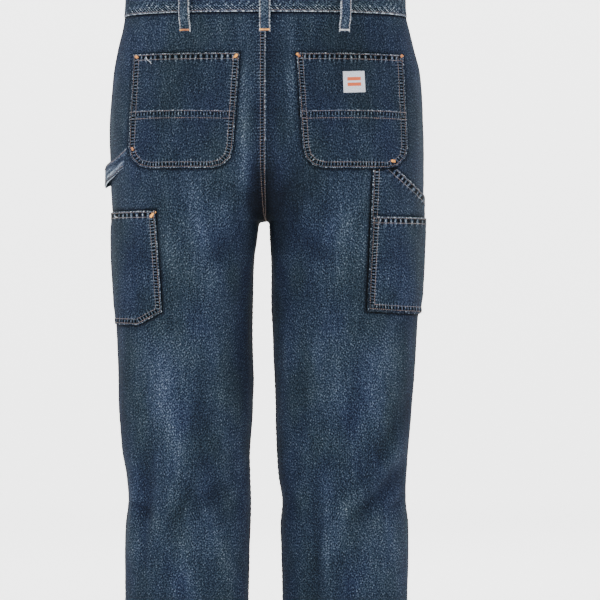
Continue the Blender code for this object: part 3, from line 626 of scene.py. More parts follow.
def panel(side, name, face):
    """One panel's share of the leg's cloth, with its fade and painted shade and how it lies to its seams."""
    leg = legs[name]
    split = BACK_COLUMNS - 1
    columns = slice(0, split + 1) if face < 0 else slice(split, None)
    points = leg.points[:, columns].copy()
    parted(points, 0, 1)
    parted(points, -1, -2)
    edge = 0 if face < 0 else -1
    points[leg.heights >= CROTCH, edge, 0] = side * SEAM_GAP / 2
    across = leg.across[:, columns]
    level = leg.heights[:, None] + 0 * across
    x, z = points[:, :, 0], points[:, :, 2]
    inner = np.abs(across - across[:, edge][:, None])
    outer = np.abs(across)
    hem = level - HEM
    amount = np.where(level < CROTCH, INSEAM_WEAR, RISE_WEAR[side]) * (FRONT_WEAR if face > 0 else 1.0)
    seam = np.stack([level, inner, amount], axis=2)
    near = outer < inner
    on_front = OUTSEAM_WEAR * (face > 0) + 0 * outer
    seam[near] = np.stack([level + OUTSEAM_STEP, outer, on_front], axis=2)[near]
    near = hem < np.minimum(inner, outer)
    seam[near] = np.stack([across + HEM_STEP_ALONG, hem, 0 * hem + HEM_WEAR], axis=2)[near]
    # Painted shade: troughs darker and ridges lighter, darker beside the seams, and the zones lighter or
    # darker
    fade = RIDGE_FADE_AND_SHADE * leg.ridge[:, columns] - SHADOW * np.exp(-((inner / SEAM_SHADOW_REACH) ** 2))
    fade = fade + MOTTLE * soft_noise(across / 0.060 + 5, level / 0.150, 61 + (side > 0))
    fade = fade - SIDE_SHADOW * np.exp(-((outer / SIDE_REACH) ** 2))
    for zone in BACK_ZONES if face < 0 else FRONT_ZONES:
        spread = ((x - zone.x) / zone.wide) ** 2 + ((z - zone.z) / zone.tall) ** 2
        fade = fade + zone.amount * np.exp(-spread)
    upright = np.empty_like(across)
    for i in range(len(across)):
        flank = points[i, :, 1] * face > 0
        order = np.argsort(np.abs(x[i, flank]))
        upright[i] = across[i] - np.interp(GRAIN_LINE, np.abs(x[i, flank])[order], across[i, flank][order])
    cloth = np.stack([upright, level + FRONT_STEP * (face > 0), 0 * level], axis=2)
    return Panel(points, leg.outward[:, columns], cloth, seam, fade)


def sheet(form):
    """A sheet of quads through a panel's points, which keeps the panel's values on its vertices."""
    rows, columns = form.points.shape[:2]
    bm = bmesh.new()
    bmesh.ops.create_grid(bm, x_segments=columns - 1, y_segments=rows - 1, size=1.0)
    outward = bm.verts.layers.float_vector.new("outward")
    cloth = bm.verts.layers.float_vector.new("cloth")
    seam = bm.verts.layers.float_vector.new("seam")
    fade = bm.verts.layers.float.new("fade")
    bm.verts.layers.float.new("lift")
    tables = [part.reshape(-1, 3).tolist() for part in (form.points, form.outward, form.cloth, form.seam)]
    shades = form.fade.ravel().tolist()
    for vert, place, out, at, edge, shade in zip(bm.verts, *tables, shades):
        vert.co = place
        vert[outward] = out
        vert[cloth] = at
        vert[seam] = edge
        vert[fade] = shade
    return bm


def lift_by(bm, heights):
    """Gives a sheet's vertices the heights of a grid to be lifted by."""
    lifted = bm.verts.layers.float["lift"]
    for vert, height in zip(bm.verts, heights.ravel().tolist()):
        vert[lifted] = height
    return bm


def shell(bm, low, high):
    """A sheet as a closed wall from low to high along its outward directions, past what its vertices are
    lifted by. The inner side takes the second finish."""
    made = bmesh.ops.extrude_face_region(bm, geom=list(bm.faces), use_keep_orig=True)
    top = {item for item in made["geom"] if isinstance(item, bmesh.types.BMVert)}
    outward = bm.verts.layers.float_vector["outward"]
    lift = bm.verts.layers.float["lift"]
    for vert in bm.verts:
        vert.co = vert.co + vert[outward].normalized() * ((high if vert in top else low) + vert[lift])
    for face in bm.faces:
        face.material_index = 0 if any(vert in top for vert in face.verts) else 1
    bmesh.ops.recalc_face_normals(bm, faces=list(bm.faces))
    return bm


def rim(bm, planes, high):
    """The stretches of a sheet's edge that lie on the planes, raised to the outer face: for each one its
    points and outward directions."""
    outward = bm.verts.layers.float_vector["outward"]
    lift = bm.verts.layers.float["lift"]

    def on_planes(edge):
        return any(all(abs((v.co - point).dot(out)) < 1e-5 for v in edge.verts) for point, out in planes)

    free = {edge for edge in bm.edges if edge.is_boundary and on_planes(edge)}
    lines = []
    while free:
        ends = [e for e in free if any(sum(other in free for other in v.link_edges) == 1 for v in e.verts)]
        edge = ends[0] if ends else next(iter(free))
        vert = min(edge.verts, key=lambda v: sum(other in free for other in v.link_edges))
        run = [vert]
        while edge:
            free.discard(edge)
            vert = edge.other_vert(vert)
            run.append(vert)
            edge = next((other for other in vert.link_edges if other in free), None)
        outs = [v[outward].normalized() for v in run]
        lines.append(([v.co + out * (high + v[lift]) for v, out in zip(run, outs)], outs))
    return lines


def seam_line(points, outward, measure, value, high=0.0):
    """The line along a grid's rows at which a measure of its columns has a value."""
    places = []
    outs = []
    for row, out, measured in zip(points, outward, measure):
        order = np.argsort(measured)
        place = [np.interp(value, measured[order], row[order, axis]) for axis in range(3)]
        facing = [np.interp(value, measured[order], out[order, axis]) for axis in range(3)]
        outs.append(Vector(facing).normalized())
        places.append(Vector(place) + outs[-1] * high)
    return places, outs


# Sewing: heavy rust-brown cotton-wrapped thread in a lockstitch of eight to the inch, ground pale where
# it stands proud. Each stitch is a small bead of thread that dips into the cloth at both ends.
STITCH_PITCH = 0.0032
STITCH_LENGTH = 0.0027
STITCH_WIDTH = 0.0009
STITCH_HEIGHT = 0.0007
EDGE_ROW = 0.0022
SECOND_ROW = 0.0082


def thread_material(name, low, high):
    """Sewing thread that is dark where it is sound and pale where it is rubbed, with its ply."""
    made, tree, shader = finish(name)
    place = node(tree, "ShaderNodeTexCoord").outputs["Object"]
    wear = node(tree, "ShaderNodeTexNoise", {"Vector": place, "Scale": 130.0, "Detail": 1.0})
    ramp = node(tree, "ShaderNodeValToRGB", {"Fac": wear.outputs["Fac"]}, ((0.34, low), (0.66, high)))
    ply = node(tree, "ShaderNodeTexWave", {"Vector": place, "Scale": 700.0}, bands_direction="DIAGONAL")
    bump = node(tree, "ShaderNodeBump", {"Height": ply.outputs["Fac"], "Strength": 0.4, "Distance": 0.0002})
    tree.links.new(ramp.outputs["Color"], shader.inputs["Base Color"])
    tree.links.new(bump.outputs["Normal"], shader.inputs["Normal"])
    shader.inputs["Roughness"].default_value = 0.75
    shader.inputs["Sheen Weight"].default_value = 0.2
    return made


rust_thread = thread_material("rust-brown core-spun sewing thread", "20140E", "5C4130")
gold_thread = thread_material("orange-gold bar tack thread", "7C3E0A", "E29A34")
pale_thread = thread_material("bleached white sewing thread", "7A7E86", "B9BCC0")


def bead(bm, place, along, out, length, width, height):
    """One stitch, as a bead of thread on the cloth."""
    along = along.normalized()
    across = out.cross(along).normalized()
    out = along.cross(across)
    turn = Matrix((along * length, across * width, out * height)).transposed().to_4x4()
    bmesh.ops.create_icosphere(bm, subdivisions=1, radius=0.5, matrix=Matrix.Translation(place) @ turn)


def evenly(line, pitch):
    """Points a pitch apart along a line of places and directions: place, direction along it, outward."""
    places, outs = line
    steps = [0.0]
    for first, second in zip(places, places[1:]):
        steps.append(steps[-1] + (second - first).length)
    at = pitch / 2
    k = 0
    found = []
    while at < steps[-1]:
        while steps[k + 1] < at:
            k += 1
        share = (at - steps[k]) / max(steps[k + 1] - steps[k], 1e-9)
        place = places[k].lerp(places[k + 1], share)
        found.append((place, places[k + 1] - places[k], outs[k].lerp(outs[k + 1], share)))
        at += pitch
    return found


def sewn(name, lines, thread, pitch=STITCH_PITCH):
    """All the stitches of one group of seams, as one piece."""
    bm = bmesh.new()
    for line in lines:
        for place, along, out in evenly(line, pitch):
            bead(bm, place, along, out.normalized(), STITCH_LENGTH, STITCH_WIDTH, STITCH_HEIGHT)
    carried(name, bm, "denim", thread)


# Denim: 14 oz right-hand twill of indigo warp over white weft, stone washed. The warp's uneven yarns give
# upright streaks and slubs, the wash a soft mottle, and every sewn edge is worn pale with dark troughs.
# The finest yarns are about 0.5 mm; they are drawn about three times as coarse, because thinner ones
# would not show in a picture of the whole garment.
BLUE_SHADES = (
    (0.0, "030406"), (0.30, "0A0E17"), (0.455, "141A28"), (0.60, "242D3D"), (0.80, "515A68"), (1.0, "969DA6"),
)
GREEN_SHADES = (
    (0.0, "030405"), (0.30, "0B1016"), (0.455, "151D25"), (0.60, "262F38"), (0.80, "545D64"), (1.0, "989EA3"),
)
REVERSE_SHADES = ((0.0, "2C3540"), (0.5, "4C5662"), (1.0, "747D86"))
Grain = namedtuple("Grain", "across along turn detail weight")
GRAINS = (
    Grain(1.9, 24.0, 0.0, 1.0, 0.16),
    Grain(4.4, 70.0, 0.0, 1.0, 0.10),
    Grain(5.0, 2.0, 8.0, 1.0, 0.06),
    Grain(1.7, 2.3, 34.0, 2.0, 1.25),
    Grain(26.0, 48.0, 0.0, 2.0, 0.16),
)
CAST_SIZE = 60.0
TONE = 0.435
# How strongly the worn line, the ladder of puckers and the last waves show at each distance (mm) from an
# edge
WORN_LINE = ((0.0, 1.0), (0.9, 0.9), (1.8, 0.0), (8.0, 0.0), (8.7, 0.45), (9.5, 0.0))
LADDER = ((2.4, 0.0), (3.2, 1.0), (7.2, 1.0), (8.2, 0.0))
WAVES = ((8.4, 0.0), (9.2, 0.9), (15.5, 0.0))
PROFILE_REACH = 16.0
LADDER_PITCH = 4.4
LINE_WEIGHT = 0.50
LADDER_WEIGHT = 0.36
LADDER_DARKNESS = 0.12
WAVES_WEIGHT = 0.17


def denim_material(name, tables, tone, wear):
    """Denim whose shade follows the cloth's own places, its fade and painted shade, and the distance to its
    seams.
    """
    made, tree, shader = finish(name)
    cloth = node(tree, "ShaderNodeAttribute", attribute_name="cloth").outputs["Vector"]
    fade = node(tree, "ShaderNodeAttribute", attribute_name="fade").outputs["Fac"]
    seam = node(tree, "ShaderNodeAttribute", attribute_name="seam").outputs["Vector"]
    parts = node(tree, "ShaderNodeSeparateXYZ", {"Vector": seam}).outputs

    total = node(tree, "ShaderNodeMath", {0: fade, 1: tone - sum(g.weight for g in GRAINS) / 2}).outputs[0]
    grains = []
    for grain in GRAINS:
        scale = (1000 / grain.across, 1000 / grain.along, 1.0)
        turned = {"Vector": cloth, "Scale": scale, "Rotation": (0.0, 0.0, math.radians(grain.turn))}
        place = node(tree, "ShaderNodeMapping", turned).outputs["Vector"]
        noise = node(tree, "ShaderNodeTexNoise", {"Vector": place, "Scale": 1.0, "Detail": grain.detail})
        grains.append(noise.outputs["Fac"])
        inputs = {0: grains[-1], 1: grain.weight, 2: total}
        total = node(tree, "ShaderNodeMath", inputs, operation="MULTIPLY_ADD").outputs[0]

    if wear:
        away = node(tree, "ShaderNodeMath", {0: parts["Y"], 1: 1000 / PROFILE_REACH}, operation="MULTIPLY")
        profiles = []
        for table in (WORN_LINE, LADDER, WAVES):
            rows = [(at / PROFILE_REACH, float(shown)) for at, shown in table]
            curve = node(tree, "ShaderNodeValToRGB", {"Fac": away.outputs[0]}, rows).outputs["Color"]
            shown = node(tree, "ShaderNodeMath", {0: curve, 1: parts["Z"]}, operation="MULTIPLY")
            profiles.append(shown.outputs[0])
        line, ladder, waves = profiles
        phase = node(
            tree,
            "ShaderNodeMath",
            {0: parts["X"], 1: math.tau * 1000 / LADDER_PITCH, 2: grains[4]},
            operation="MULTIPLY_ADD",
        ).outputs[0]
        phase = node(tree, "ShaderNodeMath", {0: grains[4], 1: 9.0, 2: phase}, operation="MULTIPLY_ADD")
        wave = node(tree, "ShaderNodeMath", {0: phase.outputs[0]}, operation="SINE").outputs[0]
        rung = {0: wave, 1: LADDER_WEIGHT, 2: -LADDER_DARKNESS}
        rung = node(tree, "ShaderNodeMath", rung, operation="MULTIPLY_ADD").outputs[0]
        broken = {0: grains[3], 1: 1.9, 2: -0.35}
        broken = node(tree, "ShaderNodeMath", broken, operation="MULTIPLY_ADD").outputs[0]
        worn = node(tree, "ShaderNodeMath", {0: line, 1: broken}, operation="MULTIPLY").outputs[0]
        total = node(tree, "ShaderNodeMath", {0: worn, 1: LINE_WEIGHT, 2: total}, operation="MULTIPLY_ADD")
        inputs = {0: ladder, 1: rung, 2: total.outputs[0]}
        total = node(tree, "ShaderNodeMath", inputs, operation="MULTIPLY_ADD")
        tail = node(tree, "ShaderNodeMath", {0: waves, 1: WAVES_WEIGHT}, operation="MULTIPLY").outputs[0]
        inputs = {0: tail, 1: wave, 2: total.outputs[0]}
        total = node(tree, "ShaderNodeMath", inputs, operation="MULTIPLY_ADD").outputs[0]

    colors = [node(tree, "ShaderNodeValToRGB", {"Fac": total}, table).outputs["Color"] for table in tables]
    color = colors[0]
    if len(colors) == 2:
        scale = (1000 / CAST_SIZE, 500 / CAST_SIZE, 1.0)
        place = node(tree, "ShaderNodeMapping", {"Vector": cloth, "Scale": scale, "Location": (7.3, 2.1, 0)})
        cast = node(tree, "ShaderNodeTexNoise", {"Vector": place.outputs["Vector"], "Scale": 1.0})
        spread = {"Value": cast.outputs["Fac"], "From Min": 0.35, "From Max": 0.65}
        share = node(tree, "ShaderNodeMapRange", spread)
        mixed = node(tree, "ShaderNodeMix", {"Factor": share.outputs["Result"]}, data_type="RGBA")
        tree.links.new(colors[0], mixed.inputs[6])
        tree.links.new(colors[1], mixed.inputs[7])
        color = mixed.outputs[2]
    tree.links.new(color, shader.inputs["Base Color"])

    relief = node(tree, "ShaderNodeMath", {0: grains[0], 1: 0.7, 2: grains[3]}, operation="MULTIPLY_ADD")
    bump = node(tree, "ShaderNodeBump", {"Height": relief.outputs[0], "Strength": 0.55, "Distance": 0.0006})
    tree.links.new(bump.outputs["Normal"], shader.inputs["Normal"])
    shader.inputs["Roughness"].default_value = 0.9
    shader.inputs["Specular IOR Level"].default_value = 0.04
    return made


denim = denim_material("stone-washed indigo twill, face", (GREEN_SHADES, BLUE_SHADES), TONE, True)
reverse = denim_material("stone-washed indigo twill, white weft side", (REVERSE_SHADES,), 0.5, False)


def tailored(name, node_name, bm, low, high, finishes=(denim, reverse), slot="denim"):
    """A sheet made a thin wall that stands for its solid, which is hidden; the size it was cut to is worked
    out.
    """
    cloth = bm.verts.layers.float_vector["cloth"]
    places = np.array([vert[cloth][:2] for vert in bm.verts])
    width, length = (places.max(axis=0) - places.min(axis=0)).tolist()
    area = min(sum(face.calc_area() for face in bm.faces), width * length)
    thing = carried(name, shell(bm, low, high), slot, *finishes)
    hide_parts(node_name)


def everything(bm):
    """All of a bmesh's vertices, edges and faces."""
    return list(bm.verts) + list(bm.edges) + list(bm.faces)


def outline_planes(corners, grow=0.0):
    """The planes of a convex outline of (x, z) corners, facing out, moved out by grow."""
    middle = sum((Vector((x, 0.0, z)) for x, z in corners), Vector()) / len(corners)
    planes = []
    for (x0, z0), (x1, z1) in zip(corners, corners[1:] + corners[:1]):
        start = Vector((x0, 0.0, z0))
        out = Vector((z1 - z0, 0.0, x0 - x1)).normalized()
        if out.dot(middle - start) > 0:
            out.negate()
        planes.append((start + out * grow, out))
    return planes


def moved_in(planes, distance):
    """The planes moved in by a distance, or out by a negative one."""
    return [(point - out * distance, out) for point, out in planes]


def trim(bm, planes):
    """Keeps what lies inside all the planes."""
    for point, out in planes:
        bmesh.ops.bisect_plane(
            bm, geom=everything(bm), plane_co=point, plane_no=out, clear_outer=True, dist=1e-7
        )
    return bm


def cut_out(bm, planes):
    """Removes what lies inside all the planes, and scores only the faces near them."""
    inside = list(bm.faces)
    for count, (point, out) in enumerate(planes, start=1):
        near = set(inside)
        for face in inside:
            near.update(face.edges)
            near.update(face.verts)
        bmesh.ops.bisect_plane(bm, geom=list(near), plane_co=point, plane_no=out, dist=1e-7)
        inside = []
        for face in bm.faces:
            middle = face.calc_center_median()
            if all((middle - at).dot(outside) < 0 for at, outside in planes[:count]):
                inside.append(face)
    bmesh.ops.delete(bm, geom=inside, context="FACES")
    return bm


PAST_SIDE = 0.245
POCKET_TOP = -0.0815
POCKET_TOP_WIDTH = 0.1510
POCKET_WIDTH = 0.1465
POCKET_HEIGHT = 0.1632
POCKET_LEAN = 0.0070
POCKET_CORNER = 0.030
POCKET_CROSS_SEAM = -0.1707
Pocket = namedtuple("Pocket", "side centre")
BACK_POCKETS = {"left": Pocket(-1, -0.1122), "right": Pocket(1, 0.1193)}
TOOL_POCKET_LEFT = (
    (-0.1553, -0.3040), (-0.1470, -0.4470), (-0.1808, -0.4655), (-PAST_SIDE, -0.4640), (-PAST_SIDE, -0.3040),
)
UTILITY_POCKET = (
    (0.1512, -0.2457), (0.1845, -0.2457), (0.2278, -0.2815), (PAST_SIDE, -0.2990), (PAST_SIDE, -0.4520),
    (0.1435, -0.4456),
)
TOOL_POCKET_RIGHT = (
    (0.1500, -0.3117), (PAST_SIDE, -0.3120), (PAST_SIDE, -0.4500), (0.1446, -0.4438),
)
# The painted shadow just outside each pocket and just below the waistband: how far it reaches, how dark
SHADOW_REACH = 0.0030
SHADOW_DEPTH = 0.30


def pocket_outline(pocket):
    """A back pocket from its mouth round: straight sides that lean outwards and round lower corners."""
    lean = POCKET_LEAN * pocket.side
    bottom = POCKET_TOP - POCKET_HEIGHT
    corners = [
        (pocket.centre + POCKET_TOP_WIDTH / 2, POCKET_TOP),
        (pocket.centre - POCKET_TOP_WIDTH / 2, POCKET_TOP),
    ]
    middle = pocket.centre + lean
    for turn in (180, 210, 240, 270, 300, 330, 360):
        hand = -1 if turn <= 270 else 1
        if turn == 270:
            corners.append((middle - POCKET_WIDTH / 2 + POCKET_CORNER, bottom))
            hand = 1
        across = POCKET_CORNER * math.cos(math.radians(turn))
        up = POCKET_CORNER * (1 + math.sin(math.radians(turn)))
        corners.append((middle + hand * (POCKET_WIDTH / 2 - POCKET_CORNER) + across, bottom + up))
    return corners


def to_edges(x, z, corners, edges):
    """The distance inwards from the nearest of an outline's edges, and the length along them there."""
    planes = outline_planes(tuple(corners))
    closest = np.full_like(x, 9.0)
    along = np.zeros_like(x)
    start = 0.0
    for k, (point, out) in enumerate(planes):
        x0, z0 = corners[k]
        x1, z1 = corners[(k + 1) % len(corners)]
        length = math.hypot(x1 - x0, z1 - z0)
        if k in edges:
            inwards = -((x - point.x) * out.x + (z - point.z) * out.z)
            here = start + ((x - x0) * (x1 - x0) + (z - z0) * (z1 - z0)) / length
            along = np.where(inwards < closest, here, along)
            closest = np.minimum(closest, inwards)
        start += length
    return closest, along


def darken(form, corners):
    """The painted shadow on a panel just outside a pocket, as a dark line."""
    x, z = form.points[:, :, 0], form.points[:, :, 2]
    edge, _ = to_edges(x, z, corners, range(len(corners)))
    return SHADOW_DEPTH * np.exp(-((edge / SHADOW_REACH) ** 2)) * (form.points[:, :, 1] < 0.02)


OUTLINES = {
    "left": (pocket_outline(BACK_POCKETS["left"]), TOOL_POCKET_LEFT),
    "right": (pocket_outline(BACK_POCKETS["right"]), UTILITY_POCKET, TOOL_POCKET_RIGHT),
}
MOUTH = ((0.112, -0.015), (0.1165, -0.062), (0.134, -0.090), (0.168, -0.1075), (0.245, -0.1110))


def front_mouth(side):
    """A front pocket's mouth, as its corners and the planes that its opening is cut with."""
    corners = [(side * x, z) for x, z in MOUTH]
    return corners, outline_planes(tuple(corners + [(side * PAST_SIDE, MOUTH[0][1])]))[: len(MOUTH) - 1]


panels = {}
for side, name in ((-1, "left"), (1, "right")):
    back = panel(side, name, -1)
    front = panel(side, name, 1)
    # Painted shadow on the back panels just outside the pockets
    for corners in OUTLINES[name]:
        back.fade[:] -= darken(back, corners)
    # Painted shadow on both panels just below the waistband
    for form in (back, front):
        below = WAIST_SEAM - legs[name].heights[:, None]
        form.fade[:] -= SHADOW_DEPTH * np.exp(-((below / SHADOW_REACH) ** 2))
    panels["back_" + name] = back
    panels["front_" + name] = front
    tailored("back_" + name + "_denim", "back_" + name, sheet(back), -DENIM, 0.0)
    front_bm = cut_out(sheet(front), front_mouth(side)[1])
    tailored("front_" + name + "_denim", "front_" + name, front_bm, -DENIM, 0.0)


# The seams of the legs: the seat seam and the inseams are felled, so two rows of stitches run beside
# their folded edge, the outseams have one row on the front, and the hems are turned up and sewn once.
FELL_ROWS = (0.0018, 0.0072)
SEAM_LIFT = 0.0001
HEM_ROW = 0.012
lines = []
for name in ("left", "right"):
    back = panels["back_" + name]
    inner = np.abs(back.cloth[:, :, 0] - back.cloth[:, :1, 0])
    level = legs[name].heights
    rows = level < CROTCH if name == "right" else level < WAIST_SEAM - 0.001
    for away in FELL_ROWS:
        lines.append(seam_line(back.points[rows], back.outward[rows], inner[rows], away, SEAM_LIFT))
    front = panels["front_" + name]
    outer = np.abs(front.cloth[:, :, 0] - front.cloth[:, :1, 0])
    rows = level < MOUTH[-1][1] - 0.004
    lines.append(seam_line(front.points[rows], front.outward[rows], outer[rows], EDGE_ROW, SEAM_LIFT))
    for form in (back, front):
        row = int(np.argmin(np.abs(level - HEM - HEM_ROW)))
        outs = [Vector(out) for out in form.outward[row].tolist()]
        places = [Vector(place) + out * SEAM_LIFT for place, out in zip(form.points[row].tolist(), outs)]
        lines.append((places, outs))
sewn("leg_seam_stitching", lines, rust_thread)


# Patch pockets: twill sewn on flat, with a turned edge along two rows of stitches, a double hem at the
# mouth and tacks at its corners. The cloth puffs a little inside the rows, which pull small puckers.
PUFF = 0.0011
PUFF_EDGE = (0.0080, 0.0300)
TURNED_EDGE = 0.0005
STEP_WIDTH = 0.001
ROW_SINK = 0.0003
MOUTH_BAND = 0.0100
MOUTH_ROWS = (0.0018, 0.0086)
CROSS_BAND = (0.0072, -0.0052)
CROSS_ROW_SHARE = 0.8
MOUTH_PITCH = 7.2
MOUTH_WEAR = 1.25
TACK_LENGTH = 0.0100
TACK_WIDTH = 0.0050
TACK_THREADS = 12
TACK_HEIGHT = 0.0011
TACK_LIFT = 0.0002
TACK_SLANT = 0.12
TACK_OVERLAP = 1.25
Tack = namedtuple("Tack", "x z turn")


def on_cloth(layers):
    """The lowest and highest distance of the nth layer of pocket cloth sewn on a panel."""
    low = SEAM_GAP + layers * (POCKET_DENIM + SEAM_GAP)
    return low, low + POCKET_DENIM


def pocket_lift(x, z, corners, mouth, sides):
    """How far a pocket's cloth stands off: puffed inside, thicker at its turned edge and mouth."""
    edge, along = to_edges(x, z, corners, sides)
    rim_distance, mouth_along = to_edges(x, z, corners, mouth)
    nearest = np.minimum(edge, rim_distance + 0.004)
    lift = PUFF * eased(nearest, *PUFF_EDGE)
    lift += TURNED_EDGE * (1 - eased(edge, SECOND_ROW - STEP_WIDTH, SECOND_ROW + STEP_WIDTH))
    lift += TURNED_EDGE * (1 - eased(rim_distance, MOUTH_BAND - STEP_WIDTH, MOUTH_BAND + STEP_WIDTH))
    for row in (EDGE_ROW, SECOND_ROW):
        lift -= ROW_SINK * np.exp(-(((edge - row) / STITCH_WIDTH) ** 2))
    lift += 0.6 * pucker(along, edge - SECOND_ROW, 71) * eased(edge, 0.001, 0.004)
    lift += 0.5 * pucker(mouth_along * 0.7, rim_distance, 81)
    return lift + 0.0004 * soft_noise(x / 0.031 + 30, z / 0.040 + 30, 91)


def clip(form, corners):
    """The part of a panel's grid that an outline covers."""
    xs = [x for x, _ in corners]
    zs = [z for _, z in corners]
    x = form.points[:, :, 0]
    z = form.points[:, :, 2]
    inside = (x > min(xs) - 0.01) & (x < max(xs) + 0.01) & (z > min(zs) - 0.01) & (z < max(zs) + 0.01)
    rows = np.flatnonzero(inside.any(axis=1))
    columns = np.flatnonzero(inside.any(axis=0))
    return Panel(*(part[rows[0] : rows[-1] + 1, columns[0] : columns[-1] + 1] for part in form))


def set_layers(bm, values):
    """Gives a sheet's vertices new values, worked out from their x and z."""
    x = np.array([vert.co.x for vert in bm.verts])
    z = np.array([vert.co.z for vert in bm.verts])
    lift, distance, along, amount, fade = values(x, z)
    layers = bm.verts.layers
    seam = layers.float_vector["seam"]
    shade = layers.float["fade"]
    lifted = layers.float["lift"]
    rows = zip(bm.verts, lift.tolist(), distance.tolist(), along.tolist(), amount.tolist(), fade.tolist())
    # The pieces sewn on keep 0.6 of the fade and painted shade of the panel under them
    for vert, up, away, place, share, faded in rows:
        vert[lifted] = up
        vert[seam] = (place, away, share)
        vert[shade] = 0.6 * vert[shade] + faded


def tack(bm, place, along, out, length=TACK_LENGTH, width=TACK_WIDTH, threads=TACK_THREADS):
    """A bar tack: a short dense row of threads laid across the seam."""
    along = along.normalized()
    across = out.cross(along).normalized()
    for k in range(threads):
        spot = place + along * (k / (threads - 1) - 0.5) * length + out * TACK_LIFT
        slanted = across + along * TACK_SLANT * (-1) ** k
        bead(bm, spot, slanted, out, width, length / threads * TACK_OVERLAP, TACK_HEIGHT)


def nearest(bm, x, z, high):
    """The place and outward direction of a sheet's outer face nearest to (x, z) on the back."""
    outward = bm.verts.layers.float_vector["outward"]
    lift = bm.verts.layers.float["lift"]
    vert = min((v for v in bm.verts if v.co.y < 0.01), key=lambda v: (v.co.x - x) ** 2 + (v.co.z - z) ** 2)
    out = vert[outward].normalized()
    place = vert.co + out * (high + vert[lift])
    return place + Vector((x - place.x, 0.0, z - place.z)), out


def patch_pocket(name, leg, corners, mouth, sides, layers, tacks, cross=None, under=None, parts=None):
    """A pocket cut from the cloth under it, in one or two pieces, with its stitches and tacks."""
    form = panels["back_" + leg]
    low, high = on_cloth(layers)
    planes = outline_planes(tuple(corners))

    def values(x, z):
        lift = pocket_lift(x, z, corners, mouth, sides)
        edge, along = to_edges(x, z, corners, sides)
        rim_distance, mouth_along = to_edges(x, z, corners, mouth)
        at_mouth = rim_distance < edge
        along = np.where(at_mouth, mouth_along * LADDER_PITCH / MOUTH_PITCH, along)
        distance = np.minimum(edge, rim_distance)
        amount = np.where(at_mouth, MOUTH_WEAR, 1.0)
        if cross is not None:
            below = cross + CROSS_BAND[0] - z
            near = np.abs(below) < distance
            along = np.where(near, x, along)
            amount = np.where(near, 0.85 * (below > 0), amount)
            distance = np.where(near, np.abs(below), distance)
            band = eased(z, cross + CROSS_BAND[1] - STEP_WIDTH, cross + CROSS_BAND[1])
            upper = cross + CROSS_BAND[0]
            lift = lift + TURNED_EDGE * band * (1 - eased(z, upper, upper + STEP_WIDTH))
        if under is not None:
            lift = lift + pocket_lift(x, z, *under)
        return lift, distance, along, amount, np.zeros_like(x)

    stitched = []
    tacked = bmesh.new()
    for part_name, extra in parts or ((name, []),):
        bm = trim(sheet(clip(form, corners)), planes + extra)
        bmesh.ops.subdivide_edges(bm, edges=list(bm.edges), cuts=1, use_grid_fill=True)
        set_layers(bm, values)
        for edges, insets in ((sides, (EDGE_ROW, SECOND_ROW)), (mouth, MOUTH_ROWS)):
            for inset in insets:
                rows = moved_in([planes[k] for k in edges], inset)
                stitched += rim(trim(bm.copy(), rows + extra), rows, high)
        if cross is not None:
            for offset in CROSS_BAND:
                at = Vector((0.0, 0.0, cross + offset * CROSS_ROW_SHARE))
                flat = [(at, Vector((0.0, 0.0, 1.0 if offset > 0 else -1.0)))]
                if all((at - point).dot(out) < 0 for point, out in extra):
                    stitched += rim(trim(bm.copy(), flat), flat, high)
        for spot in tacks:
            if all((Vector((spot.x, 0, spot.z)) - point).dot(out) < 0 for point, out in extra):
                place, out = nearest(bm, spot.x, spot.z, high)
                turn = math.radians(spot.turn)
                tack(tacked, place, Vector((math.cos(turn), 0.0, math.sin(turn))), out)
        tailored(part_name + "_denim", part_name, bm, low, high)
    sewn(name + "_stitching", stitched, rust_thread)
    if tacks:
        carried(name + "_tacks", tacked, "denim", gold_thread)


BACK_TACKS = {
    "left": (Tack(-0.1815, -0.0866, -45), Tack(-0.0434, -0.0873, 50), Tack(-0.1865, -0.2197, -65)),
    "right": (Tack(0.0479, -0.0859, -45), Tack(0.1909, -0.0845, 40), Tack(0.1774, -0.2339, -8)),
}
TOOL_TACKS = (Tack(-0.1589, -0.3090, 50),)
up = Vector((0.0, 0.0, 1.0))
for name in ("left", "right"):
    corners = pocket_outline(BACK_POCKETS[name])
    cut = Vector((0.0, 0.0, POCKET_CROSS_SEAM))
    halves = (
        ("back_pocket_" + name + "_upper", [(cut + up * SEAM_GAP / 2, -up)]),
        ("back_pocket_" + name + "_lower", [(cut - up * SEAM_GAP / 2, up)]),
    )
    patch_pocket(
        "back_pocket_" + name, name, corners, (0,), range(1, len(corners)), 0, BACK_TACKS[name],
        cross=POCKET_CROSS_SEAM, parts=halves,
    )
patch_pocket("tool_pocket_left", "left", TOOL_POCKET_LEFT, (4,), (0, 1, 2), 0, TOOL_TACKS)
patch_pocket("utility_pocket_right", "right", UTILITY_POCKET, (1, 2), (4, 5), 0, ())
patch_pocket(
    "tool_pocket_right", "right", TOOL_POCKET_RIGHT, (0,), (2, 3), 1, (),
    under=(UTILITY_POCKET, (1, 2), (4, 5)),
)

# The loose thread ends: white cotton thread that was left hanging where two seams end, at a corner of the
# left back pocket and at the mouth of the tool pocket under it.
THREAD_ENDS = (
    ("left", ((-0.1690, -0.0860), (-0.1668, -0.0905), (-0.1630, -0.0930), (-0.1612, -0.0962))),
    ("left", ((-0.2150, -0.3090), (-0.2128, -0.3112), (-0.2098, -0.3118))),
)
THREAD_STANDS_OFF = 0.0024
THREAD_PITCH = 0.0016
